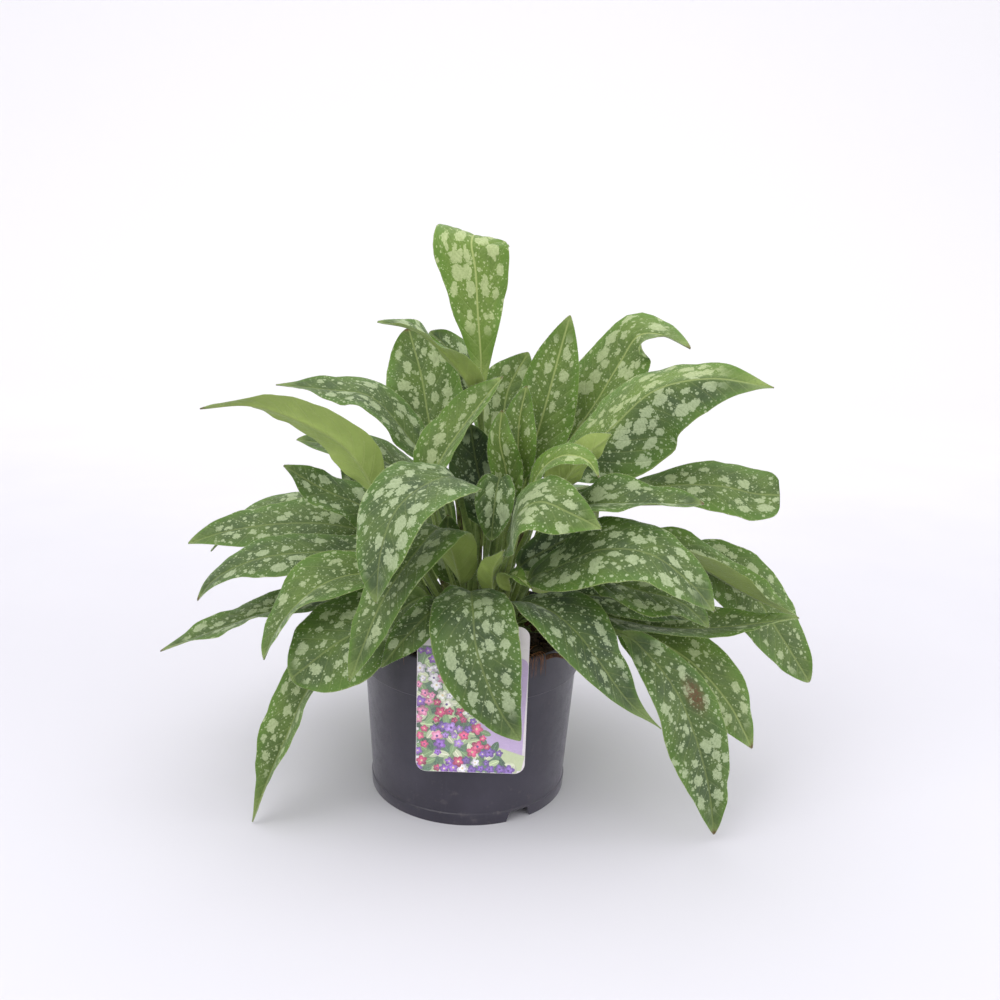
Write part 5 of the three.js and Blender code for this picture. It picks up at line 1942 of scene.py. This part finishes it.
@dataclass(frozen=True)
class CardFinish(Finish):
    """Offset-printed polypropylene card under a gloss coat."""

    name: str = "printed_card"
    roughness: float = 0.28
    refraction: float = 1.49
    bump: tuple[float, float] = (0.05, 0.1)
    bare: str = "ffffff"
    soiled: str = "8f8578"

    def pattern(self, add: Add) -> Look:
        """The ink, paler in fine grains, with a breath of soil on it in clouds.

        Args:
            add: adds a node to the material.

        Returns:
            Colour, roughness and height.
        """
        place = object_place(add)
        grain = add(Node.NOISE, place, 3.0, 3, self.fineness)
        cloud = add(Node.NOISE, place, 0.09, 4, self.fineness)
        ink = add(Node.COLOUR, attribute_name="ink")
        colour = add(Node.MIX, add(Node.STEP, grain, 0.3, 0.7, 0, 0.16), ink, self.bare)
        colour = add(Node.MIX, add(Node.STEP, cloud, 0.45, 0.75, 0, 0.14), colour, self.soiled)
        gloss = add(Node.STEP, cloud, 0.35, 0.7, self.roughness - 0.06, self.roughness + 0.14)
        return colour, gloss, grain


# Studio


@dataclass(frozen=True)
class BackdropFinish(Finish):
    """Matt studio paint under painted light and shade: a cool pale grey near the plant as painted shade,
    fading to white behind as painted light.
    """

    name: str = "backdrop_paint_with_painted_fade"
    roughness: float = 0.9
    # painted shade: the grey of the floor near the plant
    near: str = "d8d7dd"
    # painted light: the white of the far floor and wall
    far: str = "fbfafc"

    def pattern(self, add: Add) -> Look:
        """A clouded painted fade from the plant backwards: painted shade near, painted light far behind.

        Args:
            add: adds a node to the material.

        Returns:
            Colour, roughness and height.
        """
        place = object_place(add)
        cloud = add(Node.PRODUCT, add(Node.NOISE, place, 0.004, 2, self.fineness), 300)
        behind = add(Node.SUM, add(Node.PARTS, place).node.outputs[1], cloud)
        # painted light and shade: grey near the plant fading to white behind
        share = add(Node.STEP, behind, 300, 2100, 0, 1)
        return add(Node.MIX, share, self.near, self.far), self.roughness, 0


@dataclass
class Studio:
    """A pale seamless floor, soft lamps, and the camera of the reference view.

    Each lamp has its name, its place and its side in metres, and its power in watts.
    """

    lens: float = 39.6
    sensor: float = 36.0
    elevation: float = 15.0
    camera_roll: float = 1.9
    place: Point = (0.021, -0.8983, 0.4987)
    reach: float = 30000.0
    floor_front: float = -4000.0
    floor_back: float = 2000.0
    bend_radius: float = 900.0
    wall_top: float = 5000.0
    surroundings: str = "f8f7fa"
    aim: Point = (0.02, 0.0, 0.25)
    lamps: tuple[tuple[str, Point, float, float], ...] = (
        ("key", (-0.9, -1.0, 1.7), 1.4, 14),
        ("fill", (1.5, -0.6, 0.5), 1.2, 8),
        ("top", (0.1, 0.3, 1.9), 1.6, 10),
    )

    def build(self) -> None:
        """Makes the floor, the lamps, the surroundings and the camera."""
        self.backdrop()
        for name, place, size, power in self.lamps:
            self.lamp(name, place, size, power)
        world = bpy.data.worlds.new("studio")
        world.use_nodes = True
        background = world.node_tree.nodes["Background"]
        background.inputs[0].default_value = linear(self.surroundings)
        background.inputs[1].default_value = 1.0
        bpy.context.scene.world = world
        bpy.context.scene.view_settings.view_transform = "Standard"
        self.camera()

    def backdrop(self) -> None:
        """A floor that bends up into a wall far behind, in one quarter circle."""
        turn, radius = np.linspace(-np.pi / 2, 0, 16), self.bend_radius
        bend = np.stack([self.floor_back + radius * np.cos(turn), radius + radius * np.sin(turn)], -1)
        line = np.concatenate([[(self.floor_front, 0)], bend, [(self.floor_back + radius, self.wall_top)]])
        points = np.stack([np.insert(line, 0, side * self.reach, axis=1) for side in (1, -1)], 1)
        made = make_object("backdrop", Shape(points.reshape(-1, 3), sheet_faces(len(line), 2, wrap=False)))
        made.data.materials.append(BackdropFinish().build())

    def lamp(self, name: str, place: Point, size: float, power: float) -> None:
        """A square soft lamp aimed at the plant's middle.

        Args:
            name: the lamp's name.
            place: where it stands, in metres.
            size: its side, in metres.
            power: its power, in watts.
        """
        light = bpy.data.lights.new(name, "AREA")
        light.size = size
        light.energy = power
        made = add_object(name, light)
        made.location = place
        made.rotation_euler = (Vector(self.aim) - made.location).to_track_quat("-Z", "Y").to_euler()

    def camera(self) -> None:
        """The camera, 15 degrees above the horizon, turned a little about its own axis."""
        data = bpy.data.cameras.new("camera")
        data.lens = self.lens
        data.sensor_width = self.sensor
        made = add_object("camera", data)
        tilt = Matrix.Rotation(math.radians(90 - self.elevation), 4, "X")
        spin = Matrix.Rotation(math.radians(self.camera_roll), 4, "Z")
        made.matrix_world = Matrix.Translation(self.place) @ tilt @ spin
        bpy.context.scene.camera = made


def main() -> None:
    """Builds the pot, the label, the plant and the studio in order."""
    sheath = FibreFinish("leaf_sheath", light="7d8a4a", dark="4c3d2c").build()
    dead = FibreFinish("dead_leaf", light="6b4a30", dark="3a261a").build()
    root = FibreFinish("ginger_root", light="a9744a", dark="6a4327").build()
    pot = Pot()
    pot.build(PotFinish().build())
    log.info("pot")
    Soil(pot).build(SoilFinish().build(), root)
    log.info("soil")
    Label().build(CardFinish().build())
    log.info("label")
    Crown().build(sheath, dead)
    log.info("crown")
    leaf_material = LeafFinish().build()
    for index, (leaf, foot) in enumerate(zip(LEAVES, leaf_feet(LEAVES))):
        made = LeafForm(leaf, index, foot).build(leaf_material)
        log.info("%s: %d faces", made.name, len(made.data.polygons))
    Studio().build()


if __name__ == "__main__":
    logging.basicConfig(level=logging.INFO, format="%(message)s")
    main()
